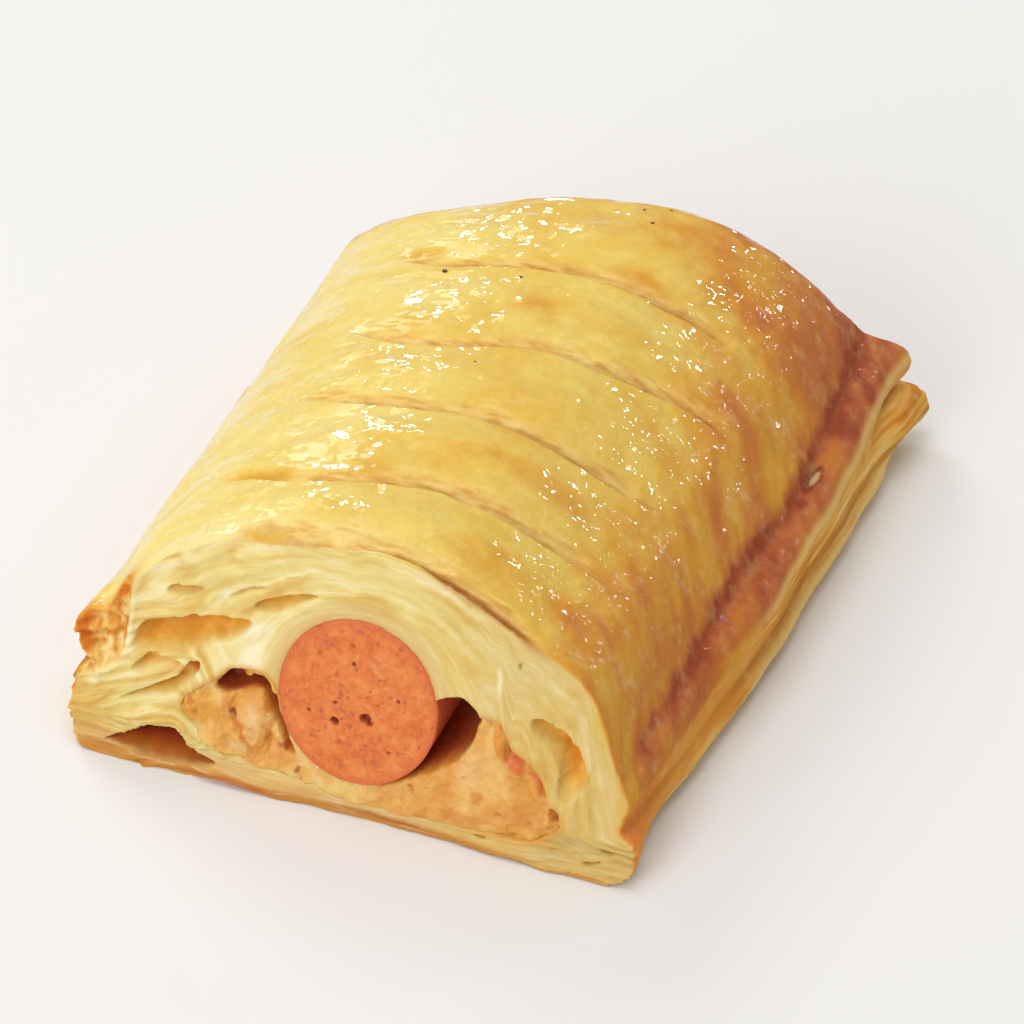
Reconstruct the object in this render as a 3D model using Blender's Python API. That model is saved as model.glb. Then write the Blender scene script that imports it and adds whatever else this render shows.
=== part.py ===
"""Half of a baked sausage roll: puff pastry round a frankfurter and a soft cheese filling.

The roll lies along Y. Its cut end faces -Y and leans back a little; the far end
at +Y is the roll's own closed end. +X is the side whose rim is browned most.
The origin is the middle of the base, on the surface that the roll lies on.
Design lengths are in millimetres and are turned into metres when a mesh is made.
"""

import math

import bmesh
import bpy
from mathutils import Matrix, Vector

MM = 0.001

# ---------------------------------------------------------------- sizes, in mm
FRONT_Y = -1.0           # near edge of the base
REAR_Y = 94.1            # far edge of the base, on the middle line
REAR_SKEW = 0.082        # the far end is a little longer on the +X side
RIM_Z = 13.0             # top of the crimped rim
CREST_Z = 34.8           # crown of the top sheet
CUT_LEAN = math.radians(16.0)   # the knife leaned back by this much
CUT_FADE = 30.0          # the lean of the cut fades out over this length

CROWN_X = (-1.2, 2.3)    # middle line of the crown, at the cut and at the far end
CROWN_FOOT = (-35.5, 33.1)      # where the crown comes down to the rim, each side
END_FALL = 15.0          # the crown falls steeply to the far end over this length

SAUSAGE_R = 10.4
SAUSAGE_X, SAUSAGE_Z = -1.1, 14.9
SAUSAGE_END = 82.0
FILLING_END = 82.5
CLEARANCE = 0.3          # between pieces that touch
FLOOR_TOP = 2.5          # upper side of the bottom sheet, under the filling

SLASHES = (              # middle of each slash along the roll, and its two ends
    (23.5, -26.0, 24.0),
    (37.7, -19.0, 23.0),
    (54.2, -20.5, 25.0),
    (70.8, -17.5, 24.5),
)
SLASH_DEPTH = 2.3
SLASH_WIDTH = 5.2
FRONT_SLASH = (10.2, -18.5, 23.0)   # the cut runs along this one

# The rim's side, from the base up: how far it lies in from the lip, and its height.
# Two sheets meet at the groove: the lower lip below it and the browned rim above it.
SIDE = (
    ("base", 9.0, 0.0),
    ("base", 4.4, 0.7),
    ("base", 1.2, 2.6),
    ("base", 0.0, 5.2),
    ("base", 0.7, 7.6),
    ("groove", 2.9, 9.0),
    ("rim", 0.4, 10.3),
    ("rim", 0.0, 11.8),
    ("rim", 1.1, RIM_Z),
)


def smooth(t):
    t = min(max(t, 0.0), 1.0)
    return t * t * (3 - 2 * t)


def bump(value, middle, reach):
    return math.exp(-(((value - middle) / reach) ** 2))


# ---------------------------------------------------------------- outlines
def base_right(y):
    return 35.7 + 3.8 * smooth((y + 10) / 75) + 0.2 * math.sin(0.19 * y + 0.6)


def rim_right(y):
    return 34.8 + 3.4 * bump(y, 50.0, 30.0) + 0.9 * smooth((y - 70) / 25) + 0.3 * math.sin(0.33 * y)


def base_left(y):
    return 38.6 + 0.35 * math.sin(0.15 * y + 1.2)


def rim_left(y):
    return 38.9 + 0.7 * bump(y, 13.0, 7.0) + 0.6 * bump(y, 50.0, 12.0) + 0.25 * math.sin(0.37 * y)


def base_rear(x):
    return REAR_Y + REAR_SKEW * x + 0.3 * math.sin(0.12 * x + 0.5)


def rim_rear(x):
    return REAR_Y - 1.2 + REAR_SKEW * x + 0.4 * math.sin(0.16 * x + 1.0)


def reach_of(station, base, rim):
    kind, inset, _ = SIDE[station]
    if kind == "base":
        return base - inset
    if kind == "rim":
        return rim - inset
    return min(base, rim) - inset


# ---------------------------------------------------------------- the top sheet
def slash_at(x, y, middle, x0, x1, depth=SLASH_DEPTH, width=SLASH_WIDTH):
    """How far one slash sinks the top sheet: steep on the near side, easing out on the far side."""
    half = (x1 - x0) / 2
    across = abs((x - (x0 + x1) / 2) / half)
    if across >= 1.15:
        return 0.0
    open_to = 1 - smooth((across - 0.45) / 0.7)
    d = y - middle
    near, far = 0.22 * width, 0.78 * width
    if d < -near or d > far:
        return 0.0
    along = 1 - smooth(-d / near) if d < 0 else 1 - smooth(d / far)
    return depth * open_to * along


def crown(x, y):
    """From 0 at the rim to 1 at the crown."""
    near, far = CROWN_X
    middle = near + (far - near) * smooth((y - 40) / 45)
    left, right = CROWN_FOOT
    foot = right if x > middle else left - 1.8 * smooth((y - 4) / 16)
    u = (x - middle) / abs(foot - middle)
    if abs(u) >= 1:
        return 0.0
    power, ease = (2.1, 0.74) if u > 0 else (2.3, 0.56)
    over = (1 - abs(u) ** power) ** ease
    end = rim_rear(x) - 0.3 - 2.2 * smooth(-x / 32)
    v = min(max((y - end + END_FALL) / END_FALL, 0.0), 1.0)
    return over * (1 - v ** 7.0) ** 0.52


def rim_height(x, y):
    """The rim rolls up a little at the two far corners and over the near left corner."""
    corner = smooth((y - 70) / 25) * smooth((abs(x) - 18) / 18)
    left = smooth((-x - 24) / 12)
    near_left = left * (1 - smooth((y - 4) / 26))
    sag = bump(y, 48.0, 22.0) * smooth((x - 24) / 12)
    return RIM_Z + 0.9 * corner + 0.7 * left + 1.4 * near_left - 1.2 * sag


def top_z(x, y):
    rim = rim_height(x, y)
    lift = crown(x, y)
    z = rim + (CREST_Z - 1.4 * smooth((y - 15) / 70) - rim) * lift
    puff = 0.0
    for (a, _, _), (b, _, _) in zip((FRONT_SLASH,) + SLASHES, SLASHES):
        puff += bump(y, (a + b) / 2 + 1.2, 4.6)
    z += 0.8 * (puff - 0.4) * lift ** 2
    for middle, x0, x1 in SLASHES:
        z -= slash_at(x, y, middle, x0, x1)
    return z - slash_at(x, y, *FRONT_SLASH, depth=1.3, width=7.0)


def cut_back(y, z):
    """The cut leans: a point at height z lies this much further back near the cut."""
    return z * math.tan(CUT_LEAN) * min(max(1 - (y - FRONT_Y) / CUT_FADE, 0.0), 1.0)


# ---------------------------------------------------------------- Blender helpers
def new_collection(name):
    found = bpy.data.collections.new(name)
    bpy.context.scene.collection.children.link(found)
    return found


def material(name, rgb, roughness):
    made = bpy.data.materials.new(name)
    made.use_nodes = True
    shader = made.node_tree.nodes["Principled BSDF"]
    shader.inputs["Base Color"].default_value = (*rgb, 1.0)
    shader.inputs["Roughness"].default_value = roughness
    shader.inputs["Metallic"].default_value = 0.0
    made.diffuse_color = (*rgb, 1.0)
    return made


def add_object(name, mesh, collection, finish=None):
    made = bpy.data.objects.new(name, mesh)
    collection.objects.link(made)
    if finish:
        mesh.materials.append(finish)
    return made


def as_cutter(obj):
    obj.hide_render = True
    obj.display_type = "WIRE"
    return obj


def boolean(obj, cutter, operation="DIFFERENCE"):
    made = obj.modifiers.new(operation.lower() + "_" + cutter.name, "BOOLEAN")
    made.operation = operation
    made.solver = "EXACT"
    made.object = cutter


def outward(shape):
    """Turn every face to look outwards."""
    bmesh.ops.recalc_face_normals(shape, faces=shape.faces)
    if shape.calc_volume(signed=True) < 0:
        bmesh.ops.reverse_faces(shape, faces=shape.faces)


def prism(name, outline, y0, y1, collection, lean=True):
    """A flat outline in X and Z, in mm, drawn out along Y. Its near end follows the lean of the cut."""
    curve = bpy.data.curves.new(name + "_outline", "CURVE")
    curve.dimensions = "2D"
    curve.fill_mode = "BOTH"
    curve.extrude = (y1 - y0) / 2 * MM
    line = curve.splines.new("POLY")
    line.points.add(len(outline) - 1)
    for point, (x, z) in zip(line.points, outline):
        point.co = (x * MM, z * MM, 0.0, 1.0)
    line.use_cyclic_u = True
    drawn = bpy.data.objects.new(name + "_outline", curve)
    collection.objects.link(drawn)
    drawn.rotation_euler = (math.radians(90), 0.0, 0.0)
    drawn.location = (0.0, (y0 + y1) / 2 * MM, 0.0)
    bpy.context.view_layer.update()
    graph = bpy.context.evaluated_depsgraph_get()
    mesh = bpy.data.meshes.new_from_object(drawn.evaluated_get(graph))
    mesh.transform(drawn.matrix_world)
    bpy.data.objects.remove(drawn)
    shape = bmesh.new()
    shape.from_mesh(mesh)
    bmesh.ops.remove_doubles(shape, verts=shape.verts, dist=0.00002)
    near = (y0 + y1) / 2 * MM
    if lean:
        for vert in shape.verts:
            if vert.co.y < near:
                vert.co.y += vert.co.z * math.tan(CUT_LEAN)
    outward(shape)
    shape.to_mesh(mesh)
    shape.free()
    mesh.name = name
    return mesh


def catmull(points, steps):
    """A smooth closed line through a few control points."""
    line = []
    n = len(points)
    for i in range(n):
        p0, p1, p2, p3 = (Vector(points[(i + k) % n]) for k in (-1, 0, 1, 2))
        for j in range(steps):
            t = j / steps
            line.append(
                0.5
                * (
                    2 * p1
                    + (p2 - p0) * t
                    + (2 * p0 - 5 * p1 + 4 * p2 - p3) * t * t
                    + (3 * p1 - p0 - 3 * p2 + p3) * t ** 3
                )
            )
    return [(p.x, p.y) for p in line]


def grown(outline, by):
    """The outline moved outwards by a distance, along the bisector at each point."""
    area = sum(a[0] * b[1] - b[0] * a[1] for a, b in zip(outline, outline[1:] + outline[:1]))
    side = 1.0 if area > 0 else -1.0
    moved = []
    n = len(outline)
    for i in range(n):
        before, here, after = (Vector(outline[(i + k) % n]) for k in (-1, 0, 1))
        along = (here - before).normalized() + (after - here).normalized()
        if along.length < 1e-6:
            along = after - here
        along.normalize()
        moved.append((here.x + side * along.y * by, here.y - side * along.x * by))
    return moved


# ---------------------------------------------------------------- what is in the roll
def filling_outline():
    """A mound on each side of the sausage, joined by a thin layer under it."""
    r = SAUSAGE_R + CLEARANCE
    arc = []
    first, last, count = math.radians(184), math.radians(306), 14
    for i in range(count + 1):
        a = first + (last - first) * i / count
        arc.append((SAUSAGE_X + r * math.cos(a), SAUSAGE_Z + r * math.sin(a)))
    right = [(9.6, 8.6), (12.4, 10.9), (13.7, 13.6), (14.6, 16.6), (17.2, 16.9), (18.6, 14.0), (21.2, 12.6), (23.6, 10.2), (25.0, 7.2), (24.6, 4.4), (20.5, 3.2)]
    under = [(8.0, FLOOR_TOP + 0.5), (-4.0, FLOOR_TOP + 0.5), (-13.0, FLOOR_TOP + 0.7)]
    left = [(-19.2, 4.0), (-22.9, 6.4), (-23.4, 8.8), (-20.2, 12.4), (-17.4, 13.6), (-14.4, 13.4)]
    return arc + right + under + left


def gap_outline():
    """The steam gap between the sausage and the mound on its right."""
    return catmull([(0.0, 9.0), (5.0, 6.4), (9.8, 7.9), (13.4, 11.0), (14.9, 15.0), (15.0, 17.3), (12.2, 19.0), (8.2, 18.6), (2.0, 18.0)], 2)


def lens_outline(x, z, length, height, tilt, top=1.0, bottom=0.6, count=9):
    """A pointed, lens-like slit between two layers: x and z are its middle."""
    c, s = math.cos(tilt), math.sin(tilt)
    line = []
    for i in range(2 * count):
        t = -1 + 2 * i / count if i < count else 3 - 2 * i / count
        half = height / 2 * (1 - t * t) * (top if i < count else -bottom)
        line.append((x + c * t * length / 2 - s * half, z + s * t * length / 2 + c * half))
    return line


# ---------------------------------------------------------------- the pastry
def station(y):
    """How far along the cube, from 0 to 1, a line across the crown at y comes from."""
    back = CREST_Z * math.tan(CUT_LEAN)
    d = y - FRONT_Y
    if d < CUT_FADE:
        d = (d - back) / (1 - back / CUT_FADE)
    return d / (REAR_Y - 1.2 - FRONT_Y)


def pastry_mesh(name):
    across = (-0.975, -0.94, -0.9, -0.86, -0.81, -0.75, -0.66, -0.54, -0.38, -0.2, 0.0, 0.2, 0.38, 0.52, 0.64, 0.74, 0.81, 0.87, 0.92, 0.965)
    along = [0.03]
    middles = [m for m, _, _ in SLASHES]
    for i, m in enumerate(middles):
        along += [station(m - 1.3), station(m - 0.55), station(m), station(m + 1.4), station(m + 3.6)]
        after = middles[i + 1] if i + 1 < len(middles) else 81.0
        along.append(station((m + 3.6 + after - 1.3) / 2))
    along += [station(12.5), station(17.0)]
    along += [station(REAR_Y - 1.2 - d) for d in (11.5, 8.2, 5.8, 4.1, 2.8, 1.8, 1.0, 0.4)]
    shape = bmesh.new()
    bmesh.ops.create_cube(shape, size=2.0)
    cuts = [(0, v) for v in across]
    cuts += [(1, -1 + 2 * t) for t in sorted(along)]
    levels = len(SIDE) - 1
    cuts += [(2, -1 + 2 * i / levels) for i in range(1, levels)]
    for axis, value in cuts:
        at, normal = Vector(), Vector()
        at[axis], normal[axis] = value, 1.0
        bmesh.ops.bisect_plane(
            shape,
            geom=shape.verts[:] + shape.edges[:] + shape.faces[:],
            plane_co=at,
            plane_no=normal,
            dist=1e-7,
        )
    for vert in shape.verts:
        s, t, level = vert.co.x, (vert.co.y + 1) / 2, round((vert.co.z + 1) / 2 * levels)
        y = FRONT_Y + t * (REAR_Y - FRONT_Y)
        right = reach_of(level, base_right(y), rim_right(y))
        left = reach_of(level, base_left(y), rim_left(y))
        x = -left + (right + left) * (s + 1) / 2
        rear = reach_of(level, base_rear(x), rim_rear(x))
        y = FRONT_Y + t * (rear - FRONT_Y)
        z = SIDE[level][2] / RIM_Z * rim_height(x, y)
        for _ in range(12):
            z = SIDE[level][2] / RIM_Z * top_z(x, y + cut_back(y, z))
        vert.co = Vector((x, y + cut_back(y, z), z)) * MM
    # the base and the cut are flat, so each becomes one face
    lean = math.tan(CUT_LEAN)
    base = [f for f in shape.faces if all(abs(v.co.z) < 1e-7 for v in f.verts)]
    bmesh.ops.dissolve_faces(shape, faces=base)
    cut = [f for f in shape.faces if all(abs(v.co.y - FRONT_Y * MM - v.co.z * lean) < 1e-6 for v in f.verts)]
    bmesh.ops.dissolve_faces(shape, faces=cut)
    bmesh.ops.triangulate(shape, faces=shape.faces)
    outward(shape)
    mesh = bpy.data.meshes.new(name)
    shape.to_mesh(mesh)
    shape.free()
    return mesh


def sausage_mesh(name, radius, y0, y1, tip=3.2, lean=True, sides=40):
    """A frankfurter: a cylinder along Y, its near end on the cut and its far end rounded."""
    shape = bmesh.new()
    bmesh.ops.create_cone(
        shape, cap_ends=True, cap_tris=False, segments=sides,
        radius1=radius * MM, radius2=radius * MM, depth=(y1 - y0) * MM,
    )
    for height in (0.0, 0.35, 0.7):
        bmesh.ops.bisect_plane(
            shape,
            geom=shape.verts[:] + shape.edges[:] + shape.faces[:],
            plane_co=Vector((0, 0, ((y1 - y0) / 2 - tip * (1 - height)) * MM)),
            plane_no=Vector((0, 0, 1)),
            dist=1e-7,
        )
    for vert in shape.verts:
        # the cone's axis is Z: turn it to lie along Y, far end at +Y
        x, z, y = vert.co.x / MM, vert.co.y / MM, vert.co.z / MM + (y0 + y1) / 2
        into = max(0.0, (y - (y1 - tip)) / tip)
        pull = 1 - 0.42 * (1 - math.sqrt(max(0.0, 1 - into * into)))
        x, z = SAUSAGE_X + x * pull, SAUSAGE_Z + z * pull
        if lean and y < y0 + 1:
            y += z * math.tan(CUT_LEAN)
        vert.co = Vector((x, y, z)) * MM
    outward(shape)
    mesh = bpy.data.meshes.new(name)
    shape.to_mesh(mesh)
    shape.free()
    return mesh


def shade(obj, degrees):
    mesh = obj.data
    mesh.shade_smooth()
    mesh.set_sharp_from_angle(angle=math.radians(degrees))


def centre(main_piece, pieces):
    """Put the middle of the roll's footprint on the origin, moving all pieces and cutters alike."""
    xs = [v.co.x for v in main_piece.data.vertices]
    ys = [v.co.y for v in main_piece.data.vertices]
    move = Matrix.Translation((-(min(xs) + max(xs)) / 2, -(min(ys) + max(ys)) / 2, 0.0))
    for piece in pieces:
        piece.data.transform(move)


def main():
    for old in list(bpy.data.objects):
        bpy.data.objects.remove(old)
    roll = new_collection("sausage_roll")
    cutters = new_collection("cutters")

    golden = material("baked_pastry", (0.76, 0.48, 0.15), 0.35)
    orange = material("cheese_filling", (0.85, 0.42, 0.12), 0.55)
    pink = material("sausage_meat", (0.78, 0.26, 0.11), 0.45)

    pastry = add_object("pastry", pastry_mesh("pastry"), roll, golden)

    # the room that the pastry leaves for what is in it
    room = prism("room_for_filling", grown(filling_outline(), CLEARANCE), -6.0, FILLING_END + CLEARANCE, cutters, lean=False)
    boolean(pastry, as_cutter(add_object("room_for_filling", room, cutters)))
    room = sausage_mesh("room_for_sausage", SAUSAGE_R + CLEARANCE, -6.0, SAUSAGE_END + CLEARANCE, lean=False)
    boolean(pastry, as_cutter(add_object("room_for_sausage", room, cutters)))
    room = prism("steam_gap", gap_outline(), -7.0, SAUSAGE_END - 12.0, cutters, lean=False)
    boolean(pastry, as_cutter(add_object("steam_gap", room, cutters)))

    # the largest air pockets that the cut opens: middle, size, tilt and how deep they go
    pockets = (
        ("pocket_left", -23.4, 17.4, 15.5, 7.4, 0.27, 11.0),
        ("pocket_right", 24.7, 13.6, 11.5, 5.6, -1.02, 9.5),
        ("pocket_under_left", -25.6, 2.5, 13.0, 5.6, -0.06, 9.0),
        ("pocket_low_left", -26.4, 10.6, 11.0, 2.6, 0.55, 8.0),
        ("pocket_top_left", -12.0, 24.4, 8.0, 1.9, 0.45, 10.5),
    )
    for name, x, z, length, height, tilt, depth in pockets:
        room = prism(name, lens_outline(x, z, length, height, tilt), -8.0, depth, cutters, lean=False)
        boolean(pastry, as_cutter(add_object(name, room, cutters)))
    shade(pastry, 40)

    filling = add_object("filling", prism("filling", filling_outline(), FRONT_Y + 0.7, FILLING_END, roll), roll, orange)
    shade(filling, 40)
    sausage = add_object("sausage", sausage_mesh("sausage", SAUSAGE_R, FRONT_Y + 0.2, SAUSAGE_END), roll, pink)
    shade(sausage, 40)
    centre(pastry, list(roll.objects) + list(cutters.objects))


main()
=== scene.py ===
"""Looks of the cut half of a sausage roll: flaky glazed pastry, cheese filling, frankfurter.

Shapes are made as solid fields on a grid, in millimetres, and turned into meshes. x is across
the roll, y along it from the cut (0) to the far end, z up. The table is at z = 0.
"""

import math

import bpy
import numpy as np
from mathutils import Matrix, Vector


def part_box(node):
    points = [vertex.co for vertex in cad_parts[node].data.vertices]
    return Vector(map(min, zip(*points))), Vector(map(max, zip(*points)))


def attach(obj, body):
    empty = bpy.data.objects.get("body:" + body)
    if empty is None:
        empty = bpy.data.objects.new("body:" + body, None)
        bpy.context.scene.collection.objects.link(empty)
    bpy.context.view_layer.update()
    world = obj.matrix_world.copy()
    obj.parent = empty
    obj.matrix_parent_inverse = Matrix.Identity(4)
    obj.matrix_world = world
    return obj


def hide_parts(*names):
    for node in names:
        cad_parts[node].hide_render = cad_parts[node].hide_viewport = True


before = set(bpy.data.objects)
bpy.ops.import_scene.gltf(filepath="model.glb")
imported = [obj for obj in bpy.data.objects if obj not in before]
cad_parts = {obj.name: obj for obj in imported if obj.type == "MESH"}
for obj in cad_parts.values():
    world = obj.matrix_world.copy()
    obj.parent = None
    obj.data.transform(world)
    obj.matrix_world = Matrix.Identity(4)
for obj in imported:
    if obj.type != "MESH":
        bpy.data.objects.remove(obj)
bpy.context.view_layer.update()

MM = 0.001
F = np.float32
FRONT = -1.0  # near edge of the base
LEAN = math.tan(math.radians(16.0))  # the cut leans back
REAR = 94.1
SKEW = 0.082
RIM = 13.0
CREST = 34.8
SAUSAGE = (-1.1, 14.9, 10.4)  # x, z and radius
# The design frame's y starts at the cut; the row's origin is the middle of the footprint.
LOW = np.array(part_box("pastry")[0]) / MM
HIGH = np.array(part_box("pastry")[1]) / MM
MOVE = np.array([(LOW[0] + HIGH[0]) / 2 - 0.018, LOW[1] - FRONT, 0.0])


# ------------------------------------------------------------------ noise
class Noise:
    """Smooth value noise on a wrapped lattice, from -1 to 1, for 1 to 3 coordinates."""

    def __init__(self, seed, dims, size=None):
        self.dims = dims
        self.size = size or {1: 4096, 2: 256, 3: 64}[dims]
        self.table = np.random.default_rng(seed).uniform(-1, 1, (self.size,) * dims).astype(F)

    def __call__(self, *at):
        at = np.broadcast_arrays(*[np.asarray(a, F) for a in at])
        low = [np.floor(a).astype(np.int32) for a in at]
        part = [a - b for a, b in zip(at, low)]
        part = [p * p * p * (p * (p * 6 - 15) + 10) for p in part]
        total = 0
        for corner in range(2 ** self.dims):
            weight, index = 1, []
            for d in range(self.dims):
                up = corner >> d & 1
                weight = weight * (part[d] if up else 1 - part[d])
                index.append((low[d] + up) % self.size)
            total = total + weight * self.table[tuple(index)]
        return total


def fbm(seed, octaves, *at, gain=0.5):
    total, size, amount = 0, 1.0, 1.0
    for i in range(octaves):
        total = total + amount * Noise(seed + 17 * i, len(at))(*[a * size + 7.3 * i for a in at])
        size, amount = size * 2.03, amount * gain
    return total


def smooth(t):
    t = np.clip(t, 0, 1)
    return t * t * (3 - 2 * t)


def step(low, high, v):
    return smooth((v - low) / (high - low))


def bump(v, middle, reach):
    return np.exp(-(((v - middle) / reach) ** 2))


def smax(a, b, k):
    """The larger of two fields, rounded over k where they meet."""
    h = np.maximum(k - np.abs(a - b), 0) / k
    return np.maximum(a, b) + h * h * k * F(0.25)


def smin(a, b, k):
    return -smax(-a, -b, k)


def polygon(points, x, z):
    """Distance to a closed outline in x and z, negative inside."""
    p = np.asarray(points, float)
    q = np.roll(p, -1, axis=0)
    best = np.full(np.broadcast(x, z).shape, 1e9)
    inside = np.zeros(best.shape, bool)
    for (ax, az), (bx, bz) in zip(p, q):
        ex, ez = bx - ax, bz - az
        t = np.clip(((x - ax) * ex + (z - az) * ez) / (ex * ex + ez * ez), 0, 1)
        best = np.minimum(best, np.hypot(x - ax - t * ex, z - az - t * ez))
        cross = (az > z) != (bz > z)
        inside ^= cross & (x < (bx - ax) * (z - az) / np.where(bz == az, 1e-9, bz - az) + ax)
    return np.where(inside, -best, best)


def rounded(points, rounds=2):
    """Cuts a closed outline's corners."""
    p = np.asarray(points, float)
    for _ in range(rounds):
        q = np.roll(p, -1, axis=0)
        p = np.stack([0.75 * p + 0.25 * q, 0.25 * p + 0.75 * q], 1).reshape(-1, 2)
    return p


# ------------------------------------------------------------------ field to mesh
def surface(xs, ys, zs, field, coarse=None):
    """A closed mesh round the cells where field < 0, one point per crossed cell.

    Where coarse(points) is true, points are merged two by two, so that parts out of sight stay light.
    """
    inside = field < 0
    shape = np.array(field.shape) - 1
    coords = (xs, ys, zs)
    cells, sums, quads = [], [], []
    for axis in range(3):
        lo = [slice(None)] * 3
        hi = [slice(None)] * 3
        lo[axis], hi[axis] = slice(0, -1), slice(1, None)
        crossing = inside[tuple(lo)] != inside[tuple(hi)]
        idx = np.argwhere(crossing)
        other = [a for a in range(3) if a != axis]
        keep = np.all((idx[:, other] > 0) & (idx[:, other] < shape[other]), axis=1)
        idx = idx[keep]
        nxt = idx.copy()
        nxt[:, axis] += 1
        f0 = field[tuple(idx.T)].astype(np.float64)
        f1 = field[tuple(nxt.T)].astype(np.float64)
        t = f0 / (f0 - f1)
        point = np.stack([coords[a][idx[:, a]] for a in range(3)], 1).astype(np.float64)
        point[:, axis] += t * (coords[axis][nxt[:, axis]] - coords[axis][idx[:, axis]])
        ring = []
        for da, db in ((0, 0), (1, 0), (1, 1), (0, 1)):
            cell = idx.copy()
            cell[:, other[0]] -= da
            cell[:, other[1]] -= db
            ring.append((cell[:, 0] * shape[1] + cell[:, 1]) * shape[2] + cell[:, 2])
            cells.append(ring[-1])
            sums.append(point)
        quad = np.stack(ring, 1)
        flip = (f0 < 0) == (axis == 1)
        quad[flip] = quad[flip][:, ::-1]
        quads.append(quad)
    cells = np.concatenate(cells)
    sums = np.concatenate(sums)
    quads = np.concatenate(quads)
    ids, inverse = np.unique(cells, return_inverse=True)
    count = np.bincount(inverse)
    verts = np.stack([np.bincount(inverse, sums[:, a]) / count for a in range(3)], 1)
    faces = np.searchsorted(ids, quads)
    if coarse is None:
        return verts, [faces]
    k, j, i = ids % shape[2], ids // shape[2] % shape[1], ids // shape[2] // shape[1]
    merged = ((i // 3 * 3 * shape[1] + j // 3 * 3) * shape[2] + k // 3 * 3) + ids.max() + 1
    group, where = np.unique(np.where(coarse(verts), merged, ids), return_inverse=True)
    share = np.bincount(where)
    verts = np.stack([np.bincount(where, verts[:, a]) / share for a in range(3)], 1)
    faces = where[faces]
    same = [faces[:, c] == faces[:, (c + 1) % 4] for c in range(4)]
    repeats = sum(s.astype(int) for s in same)
    crossed = (faces[:, 0] == faces[:, 2]) | (faces[:, 1] == faces[:, 3])
    whole = faces[(repeats == 0) & ~crossed]
    three = faces[(repeats == 1) & ~crossed]
    odd = np.argmax(np.stack([s[(repeats == 1) & ~crossed] for s in same], 1), 1)
    order = (odd[:, None] + np.array([1, 2, 3])) % 4
    triangles = np.take_along_axis(three, order, 1)
    return verts, [whole, triangles]


def relax(verts, faces, rounds=1, amount=0.5):
    """Moves each point part of the way to the middle of its neighbours."""
    sides = [np.stack([f.ravel(), np.roll(f, -1, axis=1).ravel()], 1) for f in faces]
    pairs = np.concatenate(sides + [p[:, ::-1] for p in sides])
    count = np.bincount(pairs[:, 0], minlength=len(verts))[:, None]
    for _ in range(rounds):
        near = np.stack([np.bincount(pairs[:, 0], verts[pairs[:, 1], k], len(verts)) for k in range(3)], 1)
        verts = verts + amount * (near / np.maximum(count, 1) - verts)
    return verts


def to_object(name, verts, faces, attributes=(), material=None, flat=False):
    """A mesh object from points in the design frame. faces is a list of arrays, one for each number of corners."""
    groups = [g for g in faces if len(g)]
    mesh = bpy.data.meshes.new(name)
    mesh.vertices.add(len(verts))
    mesh.vertices.foreach_set("co", ((verts + MOVE) * MM).astype(F).ravel())
    corners = np.concatenate([g.ravel() for g in groups]).astype(np.int32)
    totals = np.concatenate([np.full(len(g), g.shape[1], np.int32) for g in groups])
    mesh.loops.add(len(corners))
    mesh.loops.foreach_set("vertex_index", corners)
    mesh.polygons.add(len(totals))
    mesh.polygons.foreach_set("loop_start", (np.cumsum(totals) - totals).astype(np.int32))
    mesh.polygons.foreach_set("loop_total", totals)
    mesh.update(calc_edges=True)
    mesh.validate()
    if not flat:
        mesh.shade_smooth()
    for key, values in dict(attributes).items():
        values = np.asarray(values, F)
        if values.ndim == 2:
            made = mesh.attributes.new(key, "FLOAT_COLOR", "POINT")
            made.data.foreach_set("color", np.concatenate([values, np.ones((len(values), 1), F)], 1).ravel())
        else:
            made = mesh.attributes.new(key, "FLOAT", "POINT")
            made.data.foreach_set("value", np.ascontiguousarray(values))
    if material:
        mesh.materials.append(material)
    made = bpy.data.objects.new(name, mesh)
    bpy.context.scene.collection.objects.link(made)
    return made


def sampler(xs, ys, grid):
    """Reads a 2D map at any points, between its lines."""

    def read(x, y):
        i = np.clip(np.searchsorted(xs, x) - 1, 0, len(xs) - 2)
        j = np.clip(np.searchsorted(ys, y) - 1, 0, len(ys) - 2)
        u = np.clip((x - xs[i]) / (xs[i + 1] - xs[i]), 0, 1)
        v = np.clip((y - ys[j]) / (ys[j + 1] - ys[j]), 0, 1)
        return (
            grid[i, j] * (1 - u) * (1 - v) + grid[i + 1, j] * u * (1 - v)
            + grid[i, j + 1] * (1 - u) * v + grid[i + 1, j + 1] * u * v
        )

    return read


def blur(grid, size, axis):
    """Gaussian blur along one axis, size in cells."""
    n = int(3 * size) + 1
    k = np.exp(-0.5 * (np.arange(-n, n + 1) / size) ** 2)
    k /= k.sum()
    pad = [(0, 0)] * grid.ndim
    pad[axis] = (n, n)
    wide = np.pad(grid, pad, mode="edge")
    return np.apply_along_axis(lambda r: np.convolve(r, k, "valid"), axis, wide)


# ------------------------------------------------------------------ outlines of the roll
BASE_RIGHT = ((-2, 36.2), (3, 35.8), (7, 35.1), (11, 34.8), (15, 35.2), (20, 36.0), (26, 36.3), (32, 37.0), (40, 37.7), (47, 38.1), (55, 38.0), (65, 38.7), (77, 38.8), (88, 39.2), (97, 40.2))
RIM_RIGHT = ((-2, 34.3), (4, 35.2), (12, 35.6), (20, 35.4), (26, 35.5), (32, 36.6), (38, 37.8), (45, 38.3), (55, 38.0), (63, 38.4), (72, 38.2), (79, 37.8), (86, 37.2), (92, 37.5), (97, 37.9))
# where the crust meets the flattened rim on the right
FOLD = ((-2, 33.4), (4, 33.2), (9, 32.8), (18, 32.6), (25, 32.8), (30, 32.7), (37, 32.6), (44, 32.6), (50, 33.0), (58, 33.7), (61, 33.9), (66, 33.5), (75, 32.9), (79, 32.6), (83, 32.2), (97, 31.0))


def base_right(y):
    return through(BASE_RIGHT, y)


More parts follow.
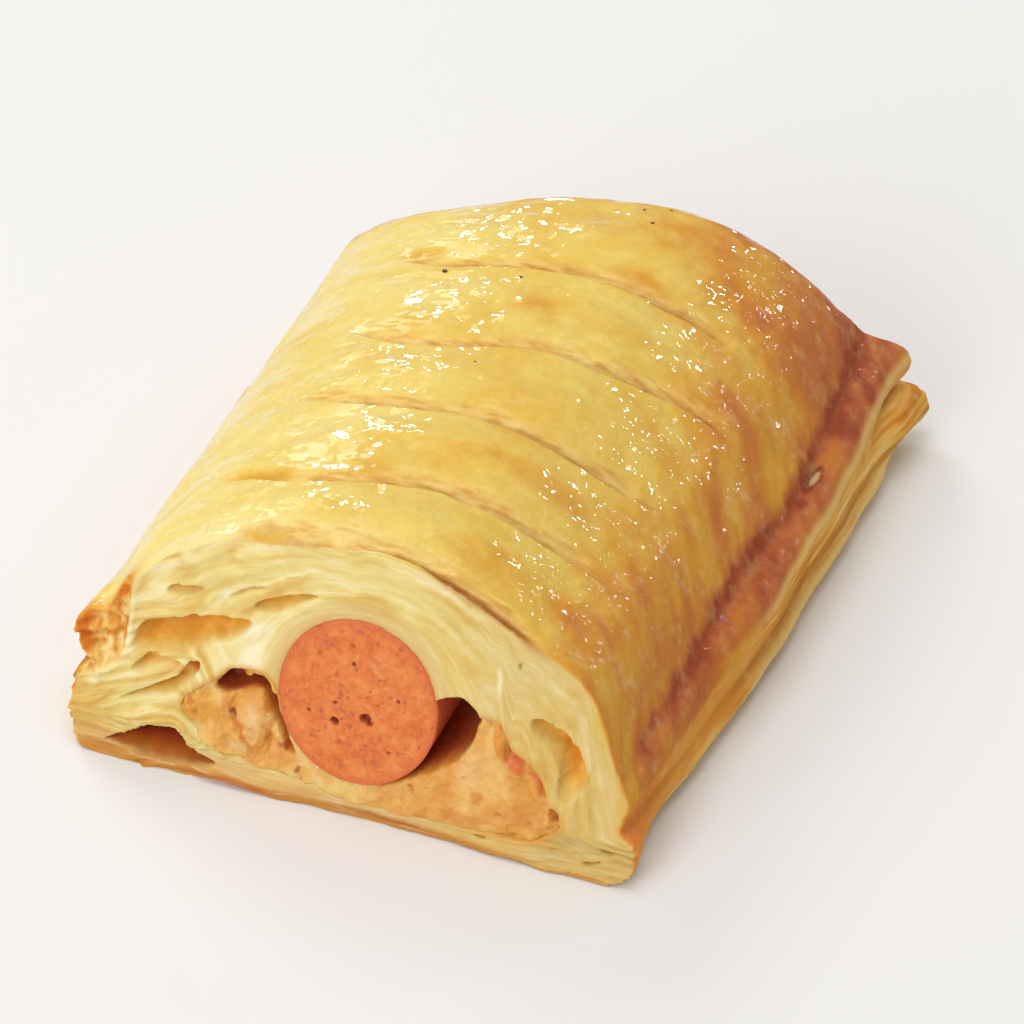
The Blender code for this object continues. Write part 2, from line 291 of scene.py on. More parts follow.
def rim_right(y):
    return through(RIM_RIGHT, y) + 0.12 * np.sin(0.61 * y)


def base_left(y):
    return 38.6 + 0.35 * np.sin(0.15 * y + 1.2)


def rim_left(y):
    return 38.9 + 0.9 * bump(y, 9.0, 8.0) + 0.6 * bump(y, 50.0, 12.0) + 0.25 * np.sin(0.37 * y)


def base_rear(x):
    return REAR + SKEW * x + 0.3 * np.sin(0.12 * x + 0.5)


def rim_rear(x):
    return REAR - 1.2 + SKEW * x + 0.4 * np.sin(0.16 * x + 1.0)


def rim_height(x, y):
    corner = smooth((y - 70) / 25) * smooth((np.abs(x) - 18) / 18)
    left = smooth((-x - 24) / 12)
    near_left = left * (1 - smooth((y - 4) / 26))
    sag = bump(y, 48.0, 22.0) * smooth((x - 24) / 12)
    return RIM + 0.9 * corner + 0.7 * left + 1.6 * near_left - 1.2 * sag


def crown(x, y):
    middle = -1.2 + 3.5 * smooth((y - 40) / 45)
    left = -35.5 - 1.8 * smooth((y - 4) / 16)
    right = through(FOLD, y) + 0.1
    u = np.clip(np.where(x > middle, (x - middle) / (right - middle), (middle - x) / (middle - left)), 0, 1)
    over = np.where(x > middle, (1 - u ** 2.2) ** 0.70, (1 - u ** 2.3) ** 0.56)
    end = rim_rear(x) + 0.1 - 3.0 * smooth(-x / 30) + 0.5 * smooth(x / 20)
    v = np.clip((y - end + 15) / 15, 0, 1)
    return over * (1 - v ** 7) ** 0.52


def edge_of_cut(height):
    """Where the cut meets something this high."""
    return FRONT + height * LEAN


SHOULDER = ((9, 0.0), (15, -0.5), (20, -0.5), (24, 0.3), (27, 1.3), (30, 1.1), (32, -0.3), (34, -0.6))

# Each slash: the line it follows (x, y), its depth and how far its pale slope reaches back.
SLASHES = (
    (((-21, 7.2), (-15, 8.1), (-9, 8.6), (0, 9.1), (6, 8.8), (12, 8.1), (18, 7.3), (23, 6.4)), 1.0, 2.8),
    (((-26, 20.8), (-20, 19.6), (-15, 18.9), (-9, 19.8), (-3, 21.4), (1, 21.9), (6, 21.6), (12, 21.3), (18, 21.5), (24, 22.6)), 1.55, 3.3),
    (((-25, 37.6), (-16, 36.0), (-9, 35.8), (-3, 36.9), (1, 37.3), (9, 37.0), (15, 36.7), (20, 37.0), (25, 38.4)), 1.5, 3.0),
    (((-23, 52.9), (-15, 49.6), (-8, 50.0), (-2, 51.8), (4, 53.1), (10, 53.4), (15, 54.4), (20, 55.5), (27, 56.4)), 1.4, 2.9),
    (((-25, 70.2), (-14, 67.4), (-9, 68.4), (-4, 69.3), (1, 69.8), (7, 69.6), (14, 69.4), (22, 70.2)), 1.55, 3.1),
)
# where glaze has pooled in the left ends of two slashes
POOLS = ((-15.4, 9.0, 3.0, 0.8), (-21.0, 20.9, 4.2, 1.1), (-20.5, 71.4, 3.0, 0.9))


# where the glaze on the right flank is wrinkled enough to glitter: x, y, radius, how much
GLINTS = (
    (30.0, 65.2, 1.6, 1.0), (29.6, 49.1, 1.8, 1.0), (32.9, 53.2, 1.3, 0.7), (29.4, 33.8, 2.5, 0.8), (25.3, 16.6, 1.3, 1.0),
    (28.0, 18.1, 1.0, 1.0), (30.2, 22.7, 1.0, 1.0), (30.0, 18.4, 1.2, 0.9), (29.4, 12.9, 1.9, 1.0), (26.7, 5.9, 1.0, 0.8),
    (24.0, 9.2, 1.0, 0.7), (33.0, 23.6, 1.0, 1.0), (33.0, 28.1, 1.0, 0.9), (33.7, 36.0, 1.2, 1.0), (23.9, 24.7, 1.0, 0.9),
    (32.0, 44.4, 1.0, 0.7), (29.9, 42.4, 1.0, 0.7), (30.5, 67.3, 1.9, 0.8), (30.6, 52.2, 1.7, 0.8), (36.3, 64.1, 1.4, 0.8),
    (-0.5, 80.2, 2.3, 0.8), (31.1, 35.1, 1.3, 0.7), (26.6, 26.2, 1.0, 0.6),
)


def through(points, v):
    """A smooth line through points, read at v."""
    p = np.asarray(points, float)
    i = np.clip(np.searchsorted(p[:, 0], v) - 1, 0, len(p) - 2)
    m = np.gradient(p[:, 1], p[:, 0])
    h = p[i + 1, 0] - p[i, 0]
    t = np.clip((v - p[i, 0]) / h, 0, 1)
    return (
        (2 * t ** 3 - 3 * t ** 2 + 1) * p[i, 1] + (t ** 3 - 2 * t ** 2 + t) * h * m[i]
        + (3 * t ** 2 - 2 * t ** 3) * p[i + 1, 1] + (t ** 3 - t ** 2) * h * m[i + 1]
    )


def slash_line(k, x):
    return through(SLASHES[k][0], x) + 0.16 * Noise(310 + k, 1)(x / 4.5 + 20) + 0.05 * Noise(320 + k, 1)(x / 1.2)


def slash_open(k, x):
    """How open slash k is at x, from 0 past its ends to 1."""
    left, right = SLASHES[k][0][0][0], SLASHES[k][0][-1][0]
    return step(left - 0.5, left + 7.0, x) * step(right + 0.5, right - 6.5, x)


def slash(k, x, y):
    """How far slash k sinks the crust, how much bare dough shows, and its dark line, a painted shadow under the near
    strip's edge.
    """
    _, depth, width = SLASHES[k]
    open_to = slash_open(k, x)
    wide = width * (0.55 + 0.45 * open_to) * (1 + 0.20 * Noise(330 + k, 1)(x / 6 + 3))
    d = y - slash_line(k, x)
    fall = step(-0.30, 0.22, d)
    rise = 1 - np.clip(d / wide, 0, 1)
    shape = fall * np.where(d > 0.2, rise ** 1.35, 1)
    bare = open_to * step(-0.10, 0.15, d) * step(1.0, 0.55, d / wide + 0.12 * fbm(340 + k, 2, x / 2.2, y / 0.8))
    strength = np.clip(0.55 + 0.75 * Noise(350 + k, 1)(x / 3.5) + 0.5 * step(-2, 6, x), 0, 1)
    dark = open_to * strength * bump(d, 0.18, 0.30 + 0.10 * strength)
    return 1.12 * depth * open_to * shape, bare, dark


def top_maps(xs, ys):
    """Height of the top over x and y, and maps of how it looks."""
    x, y = xs[:, None].astype(np.float64), ys[None, :].astype(np.float64)
    rim = rim_height(x, y)
    lift = crown(x, y)
    t = rim + (CREST - 1.4 * smooth((y - 15) / 70) - rim) * lift
    t = blur(t, 0.85 / float(xs[1] - xs[0]), 0)
    # the right rim is a soft roll of dough with a valley inside it, and falls to its edge
    ridge = rim_right(y) - x
    fold = x - through(FOLD, y)
    flat_rim = step(24, 36, y)
    t = t + (2.9 * np.clip(ridge / 5.6, 0, 1) - 0.5) * step(14, 20, x) * step(-3.5, 0.5, fold) * (0.55 + 0.45 * flat_rim)
    t = t + (0.35 + 0.25 * Noise(61, 1)(y / 6.0)) * flat_rim * bump(ridge - 2.2, 0, 1.3) - 0.20 * bump(fold, 0.3, 0.9) * step(2, 10, y)
    t = t + 0.16 * bump(fold, 0, 2.0) * Noise(63, 1)(y / 3.4) - 0.9 * step(1.3, -0.2, ridge) - 1.2 * (1 - flat_rim) * step(2.4, -0.2, ridge)
    # the cut shows how square the shoulder on the right is
    t = t + through(SHOULDER, x) * step(7, 10, x) * step(2.0, 0.0, fold) * (0.55 + 0.45 * step(34, 12, y)) * step(96, 84, y)
    edge = x + rim_left(y)
    t = t + 0.9 * bump(edge, 2.4, 1.5) - 0.9 * step(1.6, -0.4, edge)
    centre = smooth(1 - np.abs(x - 1) / 31)
    puff = 0
    lines = [slash_line(k, x) for k in range(len(SLASHES))]
    for k in range(len(SLASHES) - 1):
        wide = (lines[k + 1] - lines[k]) * 0.40
        puff = puff + bump(y, (lines[k] + lines[k + 1]) / 2 + 1.0, wide)
    puff = puff + 0.8 * bump(y, lines[-1] + 8.5, 6.0)
    t = t + 1.25 * (puff - 0.42) * centre ** 0.8
    # behind the cut's edge the crust stands a little above it
    t = t + 0.55 * bump(y, 13.0, 4.5) * centre
    # far right shoulder
    t = t + 0.9 * bump(y, 86.0, 10.0) * bump(x, 17.0, 12.0) - 0.9 * bump(y, 90.0, 9.0) * bump(x, -22.0, 9.0)
    # the glazed skin is lumpy, with soft wrinkles that run across the roll
    skin = 0.17 * fbm(11, 2, x / 9.0, y / 6.5) + 0.075 * fbm(23, 3, x / 3.2, y / 1.8) + 0.028 * fbm(37, 2, x / 1.1, y / 0.9)
    bubbles = np.clip(fbm(41, 2, x / 2.2, y / 2.0) - 0.42, 0, 1)
    flank = step(16, 25, x) * step(-2.6, -0.6, -fold)
    skin = skin + (0.06 + 0.30 * flank) * bubbles + 0.07 * flank * fbm(43, 3, x / 1.6, y / 1.3)
    # shallow dimples and blisters
    dimple = np.clip(fbm(47, 2, x / 4.6, y / 3.4) - 0.75, 0, 1)
    skin = skin - 0.35 * dimple
    t = t + skin * (0.35 + 0.65 * np.clip(lift * 2, 0, 1))
    sunk, bare, dark = 0, 0, 0
    for k in range(len(SLASHES)):
        s, o, l = slash(k, x, y)
        sunk, bare, dark = np.maximum(sunk, s), np.maximum(bare, o), np.maximum(dark, l)
        d = y - lines[k]
        if k:
            t = t + 0.35 * slash_open(k, x) * np.exp(-np.maximum(-d - 0.3, 0) / 1.8) * (1 - step(-0.35, 0.1, d))
    torn = 0.10 * fbm(53, 3, x / 3.0, y / 0.50) + 0.08 * fbm(59, 2, x / 0.8, y / 0.45)
    t = t - sunk + bare * torn
    pool = 0
    for px, py, length, wide in POOLS:
        p = np.exp(-(((x - px) / length) ** 4) - ((y - py) / wide) ** 2)
        pool = np.maximum(pool, p)
    t = t - 0.55 * pool
    return t, dict(bare=bare * (1 - pool), dark=dark * (1 - pool), pool=pool, lift=lift, dimple=dimple)


def profile(z, pairs):
    heights, insets = zip(*pairs)
    return np.interp(z, heights, insets)


LOWER = ((-1, 14.0), (0, 9.0), (0.35, 6.0), (0.8, 4.2), (1.6, 2.5), (2.6, 1.2), (3.8, 0.35), (5.2, 0.0), (6.6, 0.2), (7.7, 0.9), (8.5, 2.2), (9.1, 4.0), (9.6, 8.0), (10, 30))
UPPER = ((8.0, 30), (8.4, 8.0), (8.8, 3.6), (9.3, 2.0), (10.0, 0.8), (10.8, 0.2), (11.6, 0.0), (12.4, 0.1), (13.6, 0.5), (15.5, 1.5), (40, 4.0))


def side(base, rim, along, z, seed, rim_z, drop=0.0):
    """How far a side reaches, along it and up it: two sheets with a groove between them.

    drop lowers the lower sheet's lip.
    """
    zz = z * RIM / rim_z
    leaves = fbm(seed, 3, along / 9.0, z / 0.62)
    flaky = 0.20 * leaves + 0.10 * fbm(seed + 5, 2, along / 2.6, z / 0.36)
    wave = 0.30 * Noise(seed + 9, 2)(along / 6.5, z / 3.5)
    bend = 0.45 * Noise(seed + 13, 1)(along / 8.0)
    lower = base - profile(zz + bend * step(1, 4, z) + drop * step(9.5, 5.5, z), LOWER) + flaky + wave * step(0.5, 3, z)
    upper = rim - profile(zz + bend, UPPER) + 0.45 * flaky + 0.6 * wave
    return np.maximum(lower, upper)


def right_side(y, z):
    """The right side: a thin pale lip at the foot, a ledge, and a steep wall up to the rim."""
    base, rim, top = base_right(y), rim_right(y), rim_height(36.0, y)
    leaves = fbm(203, 3, y / 12.0, z / 0.55)
    flaky = 0.13 * leaves + 0.07 * fbm(205, 2, y / 3.0, z / 0.36)
    wave = 0.16 * Noise(207, 2)(y / 5.0, z / 3.0)
    ledge = 4.6 + 0.35 * Noise(209, 1)(y / 7.0) + 2.2 * step(12, 1, y)
    foot = np.interp(z, (-1, 0, 0.35, 0.9, 1.7, 2.8), (9, 4.6, 2.5, 1.1, 0.35, 0.0))
    lower = base - foot - np.interp(z - ledge, (-1.3, -0.7, -0.2, 0.2, 0.8), (0, 0.25, 0.8, 2.2, 30)) + flaky + wave * step(0.5, 3, z)
    start = base - 0.8 - 1.2 * step(12, 1, y)
    rise = np.clip((z - ledge) / (top - 1.6 - ledge), 0, 1)
    wall = start + (rim - start) * smooth(rise) - 0.35 * np.sin(math.pi * rise)
    wall = wall - np.interp(ledge - z, (0.2, 1.0), (0, 30)) - np.interp(z - top, (-1.2, -0.4, 0.6, 2.5, 27), (0, 0.12, 0.5, 1.5, 4.0))
    near = np.maximum(lower, wall + flaky + 0.5 * wave)
    # at the far corner the two sheets come apart
    far = side(base + 0.2, rim, y, z, 201, top)
    apart = step(80, 89, y)
    return near + (far - near) * apart


# ------------------------------------------------------------------ the cut
FILL_RIGHT = ((14.8, 17.4), (16.0, 17.2), (17.2, 17.3), (18.4, 15.6), (19.0, 14.2), (20.4, 13.8), (21.9, 13.1), (23.3, 11.9), (24.0, 10.3), (24.7, 8.7), (25.9, 8.0), (26.7, 6.2), (25.0, 4.4), (22.5, 2.8), (19.5, 2.6), (16.2, 2.8), (11.0, 2.4), (5.8, 2.1), (0.6, 2.1), (-5.0, 2.3), (-7.0, 5.0), (-2.0, 6.0), (6.0, 8.0), (12.0, 14.0))
FILL_LEFT = ((-24.2, 9.1), (-22.7, 10.8), (-21.0, 12.2), (-19.3, 13.6), (-18.1, 14.9), (-16.6, 15.2), (-14.5, 15.6), (-12.8, 15.4), (-10.8, 13.0), (-8.4, 8.0), (-5.6, 5.6), (-4.8, 2.6), (-10.2, 3.2), (-13.5, 3.2), (-15.8, 3.7), (-17.6, 3.3), (-19.5, 4.7), (-21.9, 6.3), (-23.7, 7.6))
GAP = ((8.6, 17.9), (10.6, 18.6), (11.9, 19.2), (13.2, 18.6), (14.8, 17.2), (14.4, 15.4), (14.0, 13.3), (12.9, 11.4), (11.3, 9.8), (8.5, 7.9), (5.8, 6.3), (2.6, 4.9), (0.0, 5.6), (2.0, 12.0))
HOLLOW_LEFT = ((-20.1, 11.8), (-19.2, 13.1), (-18.1, 14.5), (-16.8, 14.7), (-15.8, 14.0), (-14.9, 15.0), (-13.9, 15.2), (-12.6, 14.6), (-11.9, 12.7), (-13.5, 13.2), (-15.1, 13.2), (-16.8, 11.9), (-18.6, 11.3))
CRACK = ((-13.6, 14.2), (-12.6, 13.9), (-11.6, 11.9), (-10.6, 9.8), (-9.6, 8.0), (-8.6, 6.4), (-9.2, 6.2), (-10.6, 8.0), (-11.9, 10.2), (-12.9, 12.2))
CHUNK = ((-16.6, 11.5), (-15.5, 12.5), (-13.6, 13.3), (-12.8, 12.4), (-12.2, 10.8), (-12.0, 8.9), (-12.6, 7.1), (-13.0, 5.6), (-14.0, 4.9), (-15.2, 6.1), (-16.2, 8.0), (-16.9, 9.7))
# name, outline, how deep it goes, how ragged its edge is
POCKETS = (
    ("big", ((-31.2, 14.1), (-31.0, 16.5), (-29.5, 18.2), (-27.0, 19.3), (-22.7, 20.9), (-19.2, 21.5), (-16.2, 21.6), (-15.6, 21.0), (-16.5, 19.4), (-18.8, 17.5), (-22.0, 16.1), (-26.5, 14.6), (-29.8, 13.7)), 7.5, 0.14),
    ("second", ((-30.9, 11.4), (-30.4, 13.0), (-28.8, 14.0), (-27.0, 14.3), (-25.2, 14.2), (-24.2, 13.6), (-26.4, 12.8), (-28.8, 11.6)), 3.6, 0.12),
    ("third", ((-33.5, 7.1), (-30.9, 8.3), (-29.1, 9.5), (-27.5, 10.6), (-25.9, 11.7), (-24.4, 12.5), (-23.6, 13.9), (-22.6, 14.7), (-21.8, 14.7), (-21.9, 13.7), (-22.9, 12.0), (-24.1, 10.6), (-26.7, 9.3), (-29.9, 8.0)), 4.5, 0.16),
    ("top", ((-15.8, 23.7), (-14.3, 24.9), (-11.7, 25.9), (-9.2, 26.7), (-6.4, 27.0), (-9.4, 25.4), (-10.9, 24.1), (-13.1, 22.9), (-15.1, 22.8)), 4.2, 0.10),
    ("top_left", ((-27.4, 22.3), (-26.7, 23.6), (-24.8, 24.3), (-22.6, 24.6), (-22.1, 24.2), (-23.3, 23.0), (-25.5, 22.3)), 2.8, 0.12),
    ("lentil", ((-32.2, 23.2), (-31.5, 24.8), (-30.3, 25.7), (-30.4, 24.4), (-31.4, 23.1)), 1.6, 0.1),
    ("right", ((20.6, 18.3), (22.8, 18.9), (24.4, 18.2), (25.8, 17.7), (26.7, 16.7), (27.6, 16.2), (28.3, 14.7), (28.9, 13.3), (29.3, 11.9), (28.0, 10.6), (26.6, 9.3), (25.6, 10.1), (25.2, 11.5), (25.7, 13.2), (23.9, 15.1), (22.2, 16.3)), 6.5, 0.14),
    ("under", ((-34.1, 1.8), (-31.7, 2.7), (-30.2, 3.7), (-28.2, 5.0), (-25.9, 5.4), (-24.1, 5.3), (-22.9, 4.0), (-21.0, 2.9), (-18.1, 2.2), (-20.8, 1.5), (-25.2, 1.15), (-29.3, 1.15), (-32.1, 1.5)), 9.0, 0.14),
    ("sliver", ((-19.8, 23.6), (-18.0, 24.9), (-15.6, 26.0), (-12.4, 26.9), (-15.8, 25.6), (-18.0, 24.2)), 1.0, 0.08),
    ("pit_a", ((15.0, 1.9), (16.1, 2.4), (17.3, 2.0), (16.2, 2.0)), 0.9, 0.1),
    ("pit_b", ((23.2, 2.8), (25.2, 3.3), (27.4, 3.1), (25.4, 2.75)), 1.0, 0.16),
    ("pit_c", ((28.0, 3.3), (29.4, 3.75), (31.0, 3.6), (29.4, 3.2)), 0.9, 0.14),
    ("pit_d", ((31.4, 4.3), (32.4, 4.8), (33.8, 4.6), (32.6, 4.15)), 0.9, 0.14),
    ("pit_e", ((29.2, 1.9), (30.6, 2.6), (32.2, 3.1), (31.2, 2.2)), 1.0, 0.1),
    ("pit_f", ((32.6, 2.2), (33.6, 2.6), (34.8, 2.5), (33.6, 2.1)), 0.8, 0.12),
    ("hole", ((24.4, 7.6), (25.1, 8.1), (25.8, 7.6), (26.3, 6.3), (25.6, 5.9), (24.8, 6.6)), 2.2, 0.1),
)
# the torn left edge of the cut (z, x)
TORN_LEFT = ((6.0, -40.0), (7.4, -37.2), (10.3, -35.2), (12.2, -33.2), (14.0, -32.0), (17.9, -31.7), (21.5, -31.8), (23.9, -31.2), (26.5, -29.6), (29.0, -40.0))


def layer_map(x, z, top):
    """A coordinate that counts the baked layers on the cut: 0 at the top crust, rising inwards."""
    slope = np.gradient(top, axis=0) / np.gradient(np.broadcast_to(x, top.shape), axis=0)
    down = (top - z) / np.sqrt(1 + np.clip(slope, -1.8, 1.8) ** 2)
    sx, sz, r = SAUSAGE
    from_sausage = np.maximum(np.hypot(x - sx, z - sz) - r, 0.05)
    share = from_sausage / (from_sausage + np.maximum(down, 0.05))
    round_it = down * share + (9.5 - from_sausage) * (1 - share)
    # at the left the layers fan out towards the edge, and low down they lie flat
    fan = 26.0 - (z - 0.45 * (x + 24))
    left = step(-17.0, -25.0, x) * step(23.0, 18.0, z)
    flat = step(6.0, 3.0, z)
    layers = round_it * (1 - left) + fan * left
    return layers * (1 - flat) + (30 - z * 1.1) * flat, down


def cut_maps(xs, zs, ys, top):
    """The cut as a height map over x and z, with maps of how it looks."""
    x, z = np.meshgrid(xs.astype(np.float64), zs.astype(np.float64), indexing="ij")
    plane = edge_of_cut(z)
    read = sampler(xs, ys, top)
    outline = read(x, np.maximum(edge_of_cut(read(x, np.full_like(x, 8.0))), 2.0))
    layers, down = layer_map(x, z, outline)
    wander = 0.35 * fbm(69, 2, x / 7.0, z / 5.0)
    lam = fbm(71, 2, (layers + wander) * 0.80, x / 9.0)
    fine = fbm(83, 2, (layers + wander) * 2.2, x / 5.5)
    grain = fbm(97, 3, x / 0.9, z / 0.8)
    sx, sz, r = SAUSAGE
    near_sausage = np.hypot(x - sx, z - sz) - r
    left = step(-10, -24, x)
    right = step(15, 27, x)
    dense = step(3.2, 1.2, near_sausage) * step(8, 14, z)
    amount = (0.10 + 0.28 * left + 0.19 * right + 0.12 * step(5, 2, z) + 0.16 * step(6, 3, z) * step(20, 28, x)) * (1 - 0.8 * dense)
    relief = amount * (0.95 * lam + 0.35 * fine) + 0.03 * grain
    # leaves with a sharp upper edge and a slope below it
    phase = layers * 0.60 + 0.60 * fbm(113, 2, x / 8.0, z / 4.5)
    frac = phase - np.floor(phase)
    leaf = smooth(frac / 0.78) * (1 - smooth((frac - 0.78) / 0.22)) - 0.5
    leaf = leaf * (0.12 + 0.88 * left + 0.45 * right + 0.4 * step(6, 3, z) * step(16, 26, x)) * (1 - dense)
    leaf = leaf * (0.7 + 0.5 * Noise(117, 2)(x / 5.0, z / 3.0))
    relief = relief + 0.46 * leaf
    # where layers part there is a shallow groove, and a thin dark line of painted shade is put along it
    part = np.clip(np.abs(lam + 0.3 * fine) * 3.4, 0, 1)
    parted = (1 - part) ** 3 * (0.25 + 0.75 * left + 0.35 * right) * (1 - dense)
    relief = relief + 0.22 * parted
    relief = relief + 0.40 * fbm(101, 2, x / 11, z / 9)
    # the left edge is torn back, behind a thin pale lip
    beyond = through(TORN_LEFT, z) - x + 0.3 * fbm(107, 2, z / 2.2, x / 2.2)
    torn = step(-0.2, 1.0, beyond) * step(9.2, 10.4, z) * step(27.5, 25.5, z)
    relief = relief + torn * (1.3 + 0.22 * np.clip(beyond, 0, 6)) + torn * 0.40 * fbm(109, 3, (x + 0.5 * z) / 1.3, (z - 0.5 * x) / 1.1)
    lip = bump(beyond, -0.35, 0.55) * step(7.0, 9.0, z) * step(27.5, 25.5, z)
    relief = relief - 0.5 * lip
    return dict(x=x, z=z, plane=plane, relief=relief, leaf=leaf, layers=layers, lam=lam, fine=fine, grain=grain,
                near_sausage=near_sausage, parted=parted, torn=torn, lip=lip, down=down, dense=dense)


def outline_field(points, x, z, ragged, seed):
    p = polygon(rounded(points), x, z)
    return p + ragged * fbm(seed, 3, x / 1.3, z / 1.1)


# ------------------------------------------------------------------ colour, point by point
def blend(base, other, amount):
    return base + (np.asarray(other, float) - base) * np.clip(amount, 0, 1)[:, None]


def shades(value, stops):
    at, rgb = [s[0] for s in stops], np.array([s[1] for s in stops], float)
    return np.stack([np.interp(value, at, rgb[:, k]) for k in range(3)], 1)


def dab(x, z, cx, cz, rx, rz, turn=0.0, edge=0.5):
    """A soft oval patch, 1 inside and 0 outside."""
    c, s = math.cos(math.radians(turn)), math.sin(math.radians(turn))
    u, v = ((x - cx) * c + (z - cz) * s) / rx, (-(x - cx) * s + (z - cz) * c) / rz
    return step(1.0, 1.0 - edge, np.hypot(u, v))


def linear(rgb):
    v = np.clip(rgb, 0, 255) / 255
    return np.where(v <= 0.04045, v / 12.92, ((v + 0.055) / 1.055) ** 2.4)


BAKED = (
    (0.00, (245, 226, 146)), (0.14, (240, 218, 130)), (0.28, (235, 208, 108)), (0.42, (230, 190, 84)), (0.56, (220, 157, 54)),
    (0.66, (206, 126, 50)), (0.74, (194, 110, 60)), (0.82, (172, 84, 47)), (0.90, (142, 56, 34)), (1.00, (100, 32, 18)),
)
CRUMB = ((-0.95, (224, 184, 96)), (-0.35, (235, 208, 128)), (0.1, (242, 224, 150)), (0.55, (249, 236, 180)), (1.0, (253, 246, 210)))


